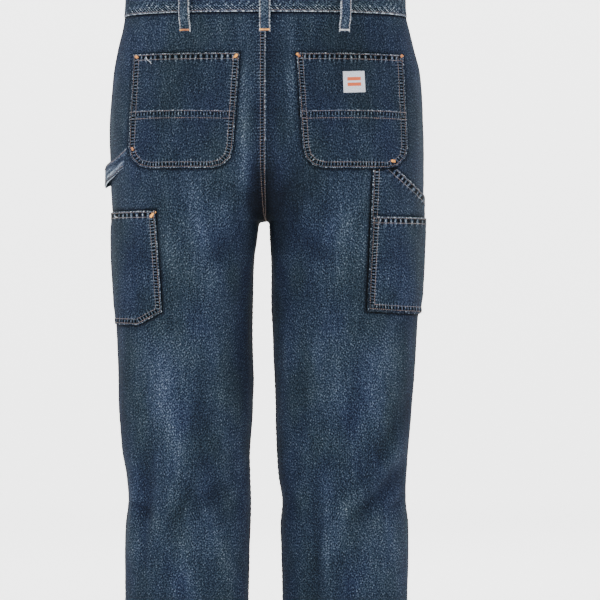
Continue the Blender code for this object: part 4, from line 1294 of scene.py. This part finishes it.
# What lies further forward than this is the front of the leg
BACK_ONLY = 0.02
TOO_FAR = 9
loose = []
for leg, course in THREAD_ENDS:
    form = panels["back_" + leg]
    places = []
    outs = []
    for x, z in course:
        away = np.hypot(form.points[:, :, 0] - x, form.points[:, :, 2] - z)
        away += TOO_FAR * (form.points[:, :, 1] > BACK_ONLY)
        at = np.unravel_index(np.argmin(away), away.shape)
        outs.append(Vector(form.outward[at].tolist()))
        places.append(Vector((x, form.points[at][1], z)) + outs[-1] * THREAD_STANDS_OFF)
    loose.append((places, outs))
sewn("loose_thread_ends", loose, pale_thread, THREAD_PITCH)


# The label: a small woven square of grey-white polyester, sewn on the right back pocket. Its design is
# a generic one, two plain orange bars.
LABEL_CENTRE = (0.1241, -0.1237)
LABEL_SIZE = (0.0300, 0.0305)
LABEL_TILT = math.radians(-2.5)
LABEL_CLOTH = 0.0010
LABEL_RIB = 1.1
LABEL_ROW = 0.0014
LABEL_PITCH = 0.0026
BAR_HALF = 0.0095
BARS = ((-0.0065, -0.0015), (0.0015, 0.0065))

label_weave, label_tree, label_shader = finish("woven polyester label, damask")
label_place = node(label_tree, "ShaderNodeAttribute", attribute_name="cloth").outputs["Vector"]
parts = node(label_tree, "ShaderNodeSeparateXYZ", {"Vector": label_place}).outputs
inside = node(label_tree, "ShaderNodeMath", {0: parts["X"], 1: 0.0}, operation="ABSOLUTE").outputs[0]
inside = node(label_tree, "ShaderNodeMath", {0: inside, 1: BAR_HALF}, operation="LESS_THAN").outputs[0]
shown = 0.0
for low, high in BARS:
    middle = {0: parts["Y"], 1: (low + high) / 2, 2: (high - low) / 2}
    on_bar = node(label_tree, "ShaderNodeMath", middle, operation="COMPARE").outputs[0]
    added = {0: on_bar, 1: inside, 2: shown}
    shown = node(label_tree, "ShaderNodeMath", added, operation="MULTIPLY_ADD").outputs[0]
fuzz = node(label_tree, "ShaderNodeTexNoise", {"Vector": label_place, "Scale": 900.0, "Detail": 2.0})
fuzz = fuzz.outputs["Fac"]
ground = node(label_tree, "ShaderNodeValToRGB", {"Fac": fuzz}, ((0.3, "6E757F"), (0.7, "AFB2B8")))
orange = node(label_tree, "ShaderNodeValToRGB", {"Fac": fuzz}, ((0.3, "7A2C02"), (0.7, "B04400")))
mixed = node(label_tree, "ShaderNodeMix", {"Factor": shown}, data_type="RGBA")
label_tree.links.new(ground.outputs["Color"], mixed.inputs[6])
label_tree.links.new(orange.outputs["Color"], mixed.inputs[7])
label_tree.links.new(mixed.outputs[2], label_shader.inputs["Base Color"])
turns = {0: parts["Y"], 1: math.tau * 1000 / LABEL_RIB}
rib = node(label_tree, "ShaderNodeMath", turns, operation="MULTIPLY").outputs[0]
rib = node(label_tree, "ShaderNodeMath", {0: rib}, operation="SINE").outputs[0]
relief = node(label_tree, "ShaderNodeBump", {"Height": rib, "Strength": 0.3, "Distance": 0.0002})
label_tree.links.new(relief.outputs["Normal"], label_shader.inputs["Normal"])
label_shader.inputs["Roughness"].default_value = 0.65
label_shader.inputs["Sheen Weight"].default_value = 0.15

wide, tall = (size / 2 for size in LABEL_SIZE)
label_corners = []
for x, z in ((-wide, -tall), (wide, -tall), (wide, tall), (-wide, tall)):
    across = LABEL_CENTRE[0] + x * math.cos(LABEL_TILT) + z * math.sin(LABEL_TILT)
    label_corners.append((across, LABEL_CENTRE[1] - x * math.sin(LABEL_TILT) + z * math.cos(LABEL_TILT)))
planes = outline_planes(tuple(label_corners))
bm = trim(sheet(clip(panels["back_right"], label_corners)), planes)
bmesh.ops.subdivide_edges(bm, edges=list(bm.edges), cuts=1, use_grid_fill=True)
pocket = pocket_outline(BACK_POCKETS["right"])


def label_values(x, z):
    """The label's height over the pocket it lies on, and no worn edges."""
    lift = pocket_lift(x, z, pocket, (0,), range(1, len(pocket)))
    edge, along = to_edges(x, z, label_corners, range(4))
    lift = lift + 0.0003 * eased(edge, LABEL_ROW, 0.004) + 0.0002 * np.sin(along / 0.0015) * (edge < 0.002)
    return lift, edge, along, np.zeros_like(x), np.zeros_like(x)


set_layers(bm, label_values)
cloth = bm.verts.layers.float_vector["cloth"]
for vert in bm.verts:
    x = vert.co.x - LABEL_CENTRE[0]
    z = vert.co.z - LABEL_CENTRE[1]
    across = x * math.cos(LABEL_TILT) - z * math.sin(LABEL_TILT)
    vert[cloth] = (across, x * math.sin(LABEL_TILT) + z * math.cos(LABEL_TILT), 0.0)
low = on_cloth(1)[0]
rows = moved_in(planes, LABEL_ROW)
label_lines = rim(trim(bm.copy(), rows), rows, low + LABEL_CLOTH)
finishes = (label_weave, label_weave)
tailored(
    "label_weave", "label", bm, low, low + LABEL_CLOTH, finishes,
    "label_cloth",
)
sewn("label_stitching", label_lines, pale_thread, LABEL_PITCH)


# The waistband: a straight strip folded double, closed round the waist with its left end lapped over the
# right one. Shrinkage has roped its lower edge into slanting ripples, worn pale on their crests.
BAND_CLOTH = 0.0024
BAND_PROUD = 0.0010
BAND_LAP = 0.019
LAP_RAISE = 0.0028
LAP_SLOPE = (0.075, 0.025)
BAND_COLUMNS = 560
BAND_ROWS = (
    0.0, 0.0008, 0.002, 0.0045, 0.007, 0.010, 0.014, 0.019, 0.024, 0.029, 0.034, 0.038, 0.0402, 0.0412,
)
BAND_FADE = -0.02
BAND_WORN = 0.42
BAND_ROPING = 0.0105
BAND_SLANT = 0.9
BAND_RIPPLE = 0.0006
BAND_SWELL = 0.0005
BAND_EDGE_THIN = 0.0007
BAND_EDGE_WIDTH = 0.0016
BAND_CALM_END = (0.030, 0.060)
BAND_ROWS_SEWN = (0.0022, 0.0392)

band_tall = 2 * WAISTBAND_HALF - SEAM_GAP / 2
heights = WAIST_SEAM + SEAM_GAP / 2 + np.array(BAND_ROWS) * band_tall / BAND_ROWS[-1]
heights = heights[::-1]
points = np.zeros((len(heights), BAND_COLUMNS, 3))
outward = np.zeros_like(points)
along = np.zeros(points.shape[:2])
for i, z in enumerate(heights):
    line = np.concatenate([half_ring(1, z)[0][::-1], half_ring(-1, z)[0][1:]])
    length = np.concatenate([[0.0], np.cumsum(np.linalg.norm(np.diff(line, axis=0), axis=1))])
    around = length[-1]
    along[i] = np.linspace(-BAND_LAP, around + BAND_LAP, BAND_COLUMNS)
    for axis in (0, 1):
        points[i, :, axis] = np.interp(along[i] % around, length, line[:, axis])
    step = np.gradient(points[i, :, :2], axis=0)
    outward[i, :, 0] = -step[:, 1]
    outward[i, :, 1] = step[:, 0]
    outward[i] /= np.linalg.norm(outward[i], axis=1, keepdims=True)
    outward[i] *= np.sign((outward[i, :, :2] * points[i, :, :2]).sum(axis=1, keepdims=True))
    points[i, :, 2] = z - front_dip(min(z, WAIST_SEAM), points[i, :, 1])
    raised = LAP_RAISE * eased(along[i], around - LAP_SLOPE[0], around - LAP_SLOPE[1])
    points[i] += outward[i] * raised[:, None]
level = heights[:, None] - heights[-1] + 0 * along
top = heights[0] - heights[:, None] + 0 * along
ends = np.minimum(along + BAND_LAP, along[:, -1:] - along)
steady = eased(ends, *BAND_CALM_END)
slanted = along - BAND_SLANT * level
drift = 5.0 * soft_noise(along / 0.021, level / 0.016, 101)
ripple = np.sin(math.tau * slanted / BAND_ROPING + drift)
ripple_size = 0.25 + 0.75 * np.exp(-((level / 0.017) ** 2))
lift = BAND_RIPPLE * ripple * ripple_size * steady + 0.5 * pucker(along, top, 111) * steady
lift += BAND_SWELL * soft_noise(along / 0.045 + 20, level / 0.03, 121) * steady
edge = np.minimum(np.minimum(level, top), ends)
lift -= BAND_EDGE_THIN * (1 - eased(edge, 0.0, BAND_EDGE_WIDTH))
seam = np.stack([slanted, edge, 1.0 + 0 * steady], axis=2)
patchy = 0.65 + 0.35 * soft_noise(along / 0.013, level / 0.009, 131)
fade = BAND_FADE + BAND_WORN * eased(ripple, 0.1, 1.0) * ripple_size * patchy
cloth = np.stack([level * 0.98, along, 0 * along], axis=2)
band = Panel(points, outward, cloth, seam, fade)
bm = lift_by(sheet(band), lift)
tailored("waistband_denim", "waistband", bm, BAND_PROUD - BAND_CLOTH, BAND_PROUD)
lines = []
for value in BAND_ROWS_SEWN:
    swapped = [np.swapaxes(part, 0, 1) for part in (points + outward * lift[:, :, None], outward, level)]
    lines.append(seam_line(*swapped, value, BAND_PROUD))
sewn("waistband_stitching", lines, rust_thread)


# Belt loops: strips folded in three, bowed out for a belt, with two rows of stitches and a bar tack
# across each end. They rub on the belt, so their edges are the palest cloth on the garment.
Loop = namedtuple("Loop", "name x face")
BELT_LOOPS = (
    Loop("belt_loop_back_centre", -0.0014, -1),
    Loop("belt_loop_back_left", -0.1141, -1),
    Loop("belt_loop_back_right", 0.1115, -1),
    Loop("belt_loop_front_left", -0.0900, 1),
    Loop("belt_loop_front_right", 0.0900, 1),
)
LOOP_WIDTH = 0.0158
LOOP_CLOTH = 0.0020
LOOP_RUN = (
    (-0.0500, 0.0006), (-0.0420, 0.0006), (-0.0360, 0.0032), (-0.0300, 0.0065), (-0.0180, 0.0083),
    (0.0020, 0.0085), (0.0115, 0.0072), (0.0175, 0.0037), (0.0205, 0.0018),
)
LOOP_COLUMNS = 11
LOOP_STEPS = 5
LOOP_FADE = 0.09
LOOP_TACK = 0.0024
LOOP_TACK_SHARE = 0.86
LOOP_TACK_WIDTH = 0.0034
LOOP_TACK_THREADS = 17
LOOP_ROW = 0.0030
EDGE_WEAR = 0.0020
STRIP_RIDGE = 0.0004
STRIP_RIDGE_AT = 0.0035
STRIP_RIDGE_WIDTH = 0.0016
STRIP_THIN_EDGE = 0.0012
STRIP_STITCH_LIFT = 0.0003
STRIP_WEAR = 1.1


def smooth_run(stations, steps):
    """Points on a smooth curve through rows of numbers, with some steps between each two."""
    stations = np.array(stations)
    slopes = np.gradient(stations, axis=0)
    run = []
    for k in range(len(stations) - 1):
        for t in np.linspace(0, 1, steps, endpoint=False):
            first = (2 * t**3 - 3 * t**2 + 1) * stations[k] + (t**3 - 2 * t**2 + t) * slopes[k]
            run.append(first + (3 * t**2 - 2 * t**3) * stations[k + 1] + (t**3 - t**2) * slopes[k + 1])
    return np.array(run + [stations[-1]])


def strip(centres, acrosses, outs, width, columns, fade, start):
    """The inner face of a flat band through stations, as a grid with its places and edges."""
    offsets = np.linspace(-0.5, 0.5, columns) * width
    points = centres[:, None] + acrosses[:, None] * offsets[None, :, None]
    outward = np.repeat(outs[:, None], columns, axis=1)
    steps = np.linalg.norm(np.diff(centres, axis=0), axis=1)
    along = start + np.concatenate([[0.0], np.cumsum(steps)])[:, None] + 0 * offsets
    edge = width / 2 - np.abs(offsets) + 0 * along
    cloth = np.stack([offsets + start + 0 * along, along, 0 * along], axis=2)
    worn = np.where(edge < EDGE_WEAR, 0.5 * edge, PROFILE_REACH / 1000)
    seam = np.stack([along, worn, STRIP_WEAR + 0 * along], axis=2)
    shade = fade + 0.06 * soft_noise(along / 0.012, offsets / 0.008 + 0 * along, 141)
    return Panel(points, outward, cloth, seam, shade)


def band_sheet(form, ridge):
    """A strip as a sheet, a little thicker beside its edges and thin at them."""
    edge = form.seam[:, :, 1]
    bulge = np.exp(-(((edge - STRIP_RIDGE_AT) / STRIP_RIDGE_WIDTH) ** 2))
    lift = ridge * bulge - ridge * (1 - eased(edge, 0.0, STRIP_THIN_EDGE))
    return lift_by(sheet(form), lift)


def band_rows(form, inset, high):
    """The two rows of stitches along a strip."""
    width = form.seam[0, :, 1].max()
    columns = form.points.shape[1]
    share = (inset / (2 * width)) * (columns - 1)
    lines = []
    for at in (share, columns - 1 - share):
        low = int(at)
        part = at - low
        places = form.points[:, low] * (1 - part) + form.points[:, low + 1] * part
        outs = [Vector(out) for out in form.outward[:, low].tolist()]
        lines.append(([Vector(place) + out * high for place, out in zip(places.tolist(), outs)], outs))
    return lines


def body_line(z, face):
    """The back (-1) or front (+1) of the body's ring at height z, as (x, y) from left to right."""
    ring = np.concatenate([half_ring(-1, z)[0], half_ring(1, z)[0]])
    ring = ring[ring[:, 1] * face > 0]
    return ring[np.argsort(ring[:, 0])]


def facing_out(centres, acrosses, hand=1):
    """Outward directions of a band, square to its run and its width."""
    outs = np.cross(acrosses, np.gradient(centres, axis=0)) * hand
    return outs / np.linalg.norm(outs, axis=1, keepdims=True)


loop_lines = []
tacks = {gold_thread: bmesh.new(), pale_thread: bmesh.new()}
for number, loop in enumerate(BELT_LOOPS):
    half = LOOP_WIDTH / 2
    line = body_line(0.0, loop.face)
    rise = np.diff(np.interp([loop.x - half, loop.x + half], line[:, 0], line[:, 1]))[0]
    across = np.array([LOOP_WIDTH, rise, 0.0])
    across /= np.linalg.norm(across)
    out = np.array([-across[1], across[0], 0.0]) * loop.face
    stations = []
    for z, off in LOOP_RUN:
        line = body_line(z, loop.face)
        y = np.interp(loop.x, line[:, 0], line[:, 1])
        stations.append(np.array([loop.x, y, z - front_dip(max(z, WAIST_SEAM), y)]) + out * off)
    centres = smooth_run(stations, LOOP_STEPS)
    acrosses = np.repeat(across[None], len(centres), axis=0)
    outs = facing_out(centres, acrosses, -loop.face)
    form = strip(centres, acrosses, outs, LOOP_WIDTH, LOOP_COLUMNS, LOOP_FADE, 5.0 + 0.31 * number)
    tailored(
        loop.name + "_denim", loop.name, band_sheet(form, STRIP_RIDGE), 0.0, LOOP_CLOTH,
    )
    loop_lines += band_rows(form, LOOP_ROW, LOOP_CLOTH + STRIP_STITCH_LIFT)
    thread = pale_thread if loop.name.endswith("right") else gold_thread
    for row in (0, len(centres) - 1):
        inwards = centres[1] - centres[0] if row == 0 else centres[-2] - centres[-1]
        inwards /= np.linalg.norm(inwards)
        place = Vector(centres[row] + inwards * LOOP_TACK + outs[row] * (LOOP_CLOTH + TACK_LIFT))
        size = (LOOP_WIDTH * LOOP_TACK_SHARE, LOOP_TACK_WIDTH, LOOP_TACK_THREADS)
        tack(tacks[thread], place, Vector(across), Vector(outs[row]), *size)
sewn("belt_loop_stitching", loop_lines, rust_thread)
for kind, (thread, bm) in zip(("gold", "pale"), tacks.items()):
    carried("belt_loop_tacks_" + kind, bm, "denim", thread)


# The hammer loop: a slack strap of doubled twill from the lower corner of the left back pocket round the
# side to the outseam, twisted a little where it folds over, and rubbed white along its edges.
LoopStation = namedtuple("LoopStation", "x y z across_x across_y across_z")
HAMMER_LOOP = (
    LoopStation(-0.1985, -0.0982, -0.2290, 0.20, -0.22, 1.0),
    LoopStation(-0.2050, -0.0887, -0.2330, 0.22, -0.32, 1.0),
    LoopStation(-0.2127, -0.0786, -0.2400, 0.18, -0.25, 1.0),
    LoopStation(-0.2233, -0.0588, -0.2465, 0.12, -0.15, 1.0),
    LoopStation(-0.2294, -0.0389, -0.2515, 0.04, -0.05, 1.0),
    LoopStation(-0.2312, -0.0200, -0.2540, 0.00, 0.00, 1.0),
    LoopStation(-0.2310, -0.0060, -0.2530, 0.00, 0.00, 1.0),
    LoopStation(-0.2288, 0.0040, -0.2510, 0.00, 0.00, 1.0),
    LoopStation(-0.2249, 0.0110, -0.2490, 0.00, 0.00, 1.0),
)
HAMMER_WIDTH = 0.029
HAMMER_CLOTH = 0.0016
HAMMER_FADE = 0.12
HAMMER_STREAK = 0.22
HAMMER_COLUMNS = 15
HAMMER_STEPS = 8
HAMMER_ROW = 0.0034

rows = smooth_run([list(station) for station in HAMMER_LOOP], HAMMER_STEPS)
centres = rows[:, :3]
acrosses = rows[:, 3:] / np.linalg.norm(rows[:, 3:], axis=1, keepdims=True)
outs = facing_out(centres, acrosses)
form = strip(centres, acrosses, outs, HAMMER_WIDTH, HAMMER_COLUMNS, HAMMER_FADE, 7.0)
form.fade[:] += HAMMER_STREAK * soft_noise(form.cloth[:, :, 1] / 0.030, form.cloth[:, :, 0] / 0.0032, 151)
tailored(
    "hammer_loop_denim", "hammer_loop", band_sheet(form, STRIP_RIDGE), 0.0, HAMMER_CLOTH,
)
hammer_lines = band_rows(form, HAMMER_ROW, HAMMER_CLOTH + STRIP_STITCH_LIFT)
sewn("hammer_loop_stitching", hammer_lines, rust_thread)


# The front: scooped pocket mouths with the facing of the same cloth behind them, and the curved rows
# of stitches that hold the fly's facing on the left front.
FLY_ROWS = (0.0380, 0.0440)
FLY_STRAIGHT = -0.150
FLY_FOOT = -0.196
FLY_CLEAR = 0.002
FLY_STEP = 0.004
FACING_TUCK = 0.012


def spot(form, measure, heights, height, value):
    """The point of a grid at a height where the measure of its columns has a value."""
    i = int(np.clip(np.searchsorted(-heights, -height) - 1, 0, len(heights) - 2))
    share = (heights[i] - height) / (heights[i] - heights[i + 1])
    rows = slice(i, i + 2)
    (first, second), (out, other) = seam_line(form.points[rows], form.outward[rows], measure[rows], value)
    return first.lerp(second, share), out.lerp(other, share).normalized()


front_lines = []
left_front = panels["front_left"]
from_fly = np.abs(left_front.cloth[:, :, 0] - left_front.cloth[:, -1:, 0])
for inset in FLY_ROWS:
    course = [(z, inset) for z in np.arange(WAIST_SEAM - FLY_CLEAR, FLY_STRAIGHT, -FLY_STEP)]
    for turn in np.linspace(0, math.pi / 2, 14):
        foot = FLY_FOOT - (inset - FLY_ROWS[0])
        down = FLY_STRAIGHT + (foot - FLY_STRAIGHT) * math.sin(turn)
        course.append((down, FLY_CLEAR + (inset - FLY_CLEAR) * math.cos(turn)))
    spots = [spot(left_front, from_fly, legs["left"].heights, z, value) for z, value in course]
    front_lines.append(([place + out * SEAM_LIFT for place, out in spots], [out for _, out in spots]))
for side, name in ((-1, "left"), (1, "right")):
    front = panels["front_" + name]
    mouth, opening = front_mouth(side)
    for inset in (EDGE_ROW, SECOND_ROW):
        rows = moved_in(opening, -inset)
        front_lines += rim(cut_out(sheet(clip(front, mouth)), rows), rows, SEAM_LIFT)
    tucked = moved_in(opening, -FACING_TUCK)
    facing = "front_pocket_facing_" + name
    tailored(
        facing + "_denim", facing, trim(sheet(front), tucked),
        -DENIM - SEAM_GAP - POCKET_DENIM, -DENIM - SEAM_GAP,
    )
sewn("front_stitching", front_lines, rust_thread)


# The waist button: a shank button of aged brass, with a rolled rim and a shallow domed centre, riveted
# through the lapped end of the waistband.
BUTTON_GAP = 0.0005
# Profile from the back's centre round the rim to the dome's top: radius and height
BUTTON_PROFILE = (
    (0.0, 0.0), (0.0068, 0.0), (0.0080, 0.0004), (0.0085, 0.0014), (0.0084, 0.0026), (0.0077, 0.0036),
    (0.0068, 0.0040), (0.0060, 0.0037), (0.0055, 0.0030), (0.0046, 0.0030), (0.0030, 0.0035),
    (0.0014, 0.0038), (0.0, 0.0039),
)
SHANK_RADIUS = 0.0030

brass, brass_tree, brass_shader = finish("aged brass, stamped and tumbled")
brass_place = node(brass_tree, "ShaderNodeTexCoord").outputs["Object"]
tarnish = node(brass_tree, "ShaderNodeTexNoise", {"Vector": brass_place, "Scale": 420.0, "Detail": 4.0})
patina = {"Fac": tarnish.outputs["Fac"]}
patina = node(brass_tree, "ShaderNodeValToRGB", patina, ((0.32, "4A3418"), (0.6, "9A7440")))
brass_tree.links.new(patina.outputs["Color"], brass_shader.inputs["Base Color"])
rubbed = {"Value": tarnish.outputs["Fac"], "To Min": 0.55, "To Max": 0.3}
worn = node(brass_tree, "ShaderNodeMapRange", rubbed)
brass_tree.links.new(worn.outputs["Result"], brass_shader.inputs["Roughness"])
pits = {"Height": tarnish.outputs["Fac"], "Strength": 0.25, "Distance": 0.0002}
dents = node(brass_tree, "ShaderNodeBump", pits)
brass_tree.links.new(dents.outputs["Normal"], brass_shader.inputs["Normal"])
brass_shader.inputs["Metallic"].default_value = 1.0

low, middle, high = (half_ring(1, z)[0][-1][1] for z in (WAIST_SEAM, 0.0, WAISTBAND_HALF))
lean = math.atan((low - high) / (2 * WAISTBAND_HALF))
face = middle + BAND_PROUD + LAP_RAISE + BUTTON_GAP
seat = Matrix.Translation((0.0, face, -FRONT_DIP)) @ Matrix.Rotation(math.radians(-90) + lean, 4, "X")
bm = bmesh.new()
profile = [bm.verts.new((radius, 0.0, height)) for radius, height in BUTTON_PROFILE]
edges = [bm.edges.new(pair) for pair in zip(profile, profile[1:])]
bmesh.ops.spin(
    bm, geom=profile + edges, cent=(0, 0, 0), axis=(0, 0, 1), angle=math.tau, steps=48, use_merge=True
)
bmesh.ops.remove_doubles(bm, verts=list(bm.verts), dist=0.00002)
bmesh.ops.recalc_face_normals(bm, faces=list(bm.faces))
bmesh.ops.create_cone(
    bm, cap_ends=True, segments=24, radius1=SHANK_RADIUS, radius2=SHANK_RADIUS, depth=BUTTON_GAP * 1.6,
    matrix=Matrix.Translation((0.0, 0.0, -BUTTON_GAP * 0.2)),
)
bmesh.ops.transform(bm, matrix=seat, verts=list(bm.verts))
button = carried("waist_button_brass", bm, "brass", brass)
button.data.set_sharp_from_angle(angle=math.radians(50))
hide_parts("waist_button")


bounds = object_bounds()
boxes = {"cad": cad_bounds, "visual": bounds}
rows = {name: [[float(value) for value in corner] for corner in box] for name, box in boxes.items()}
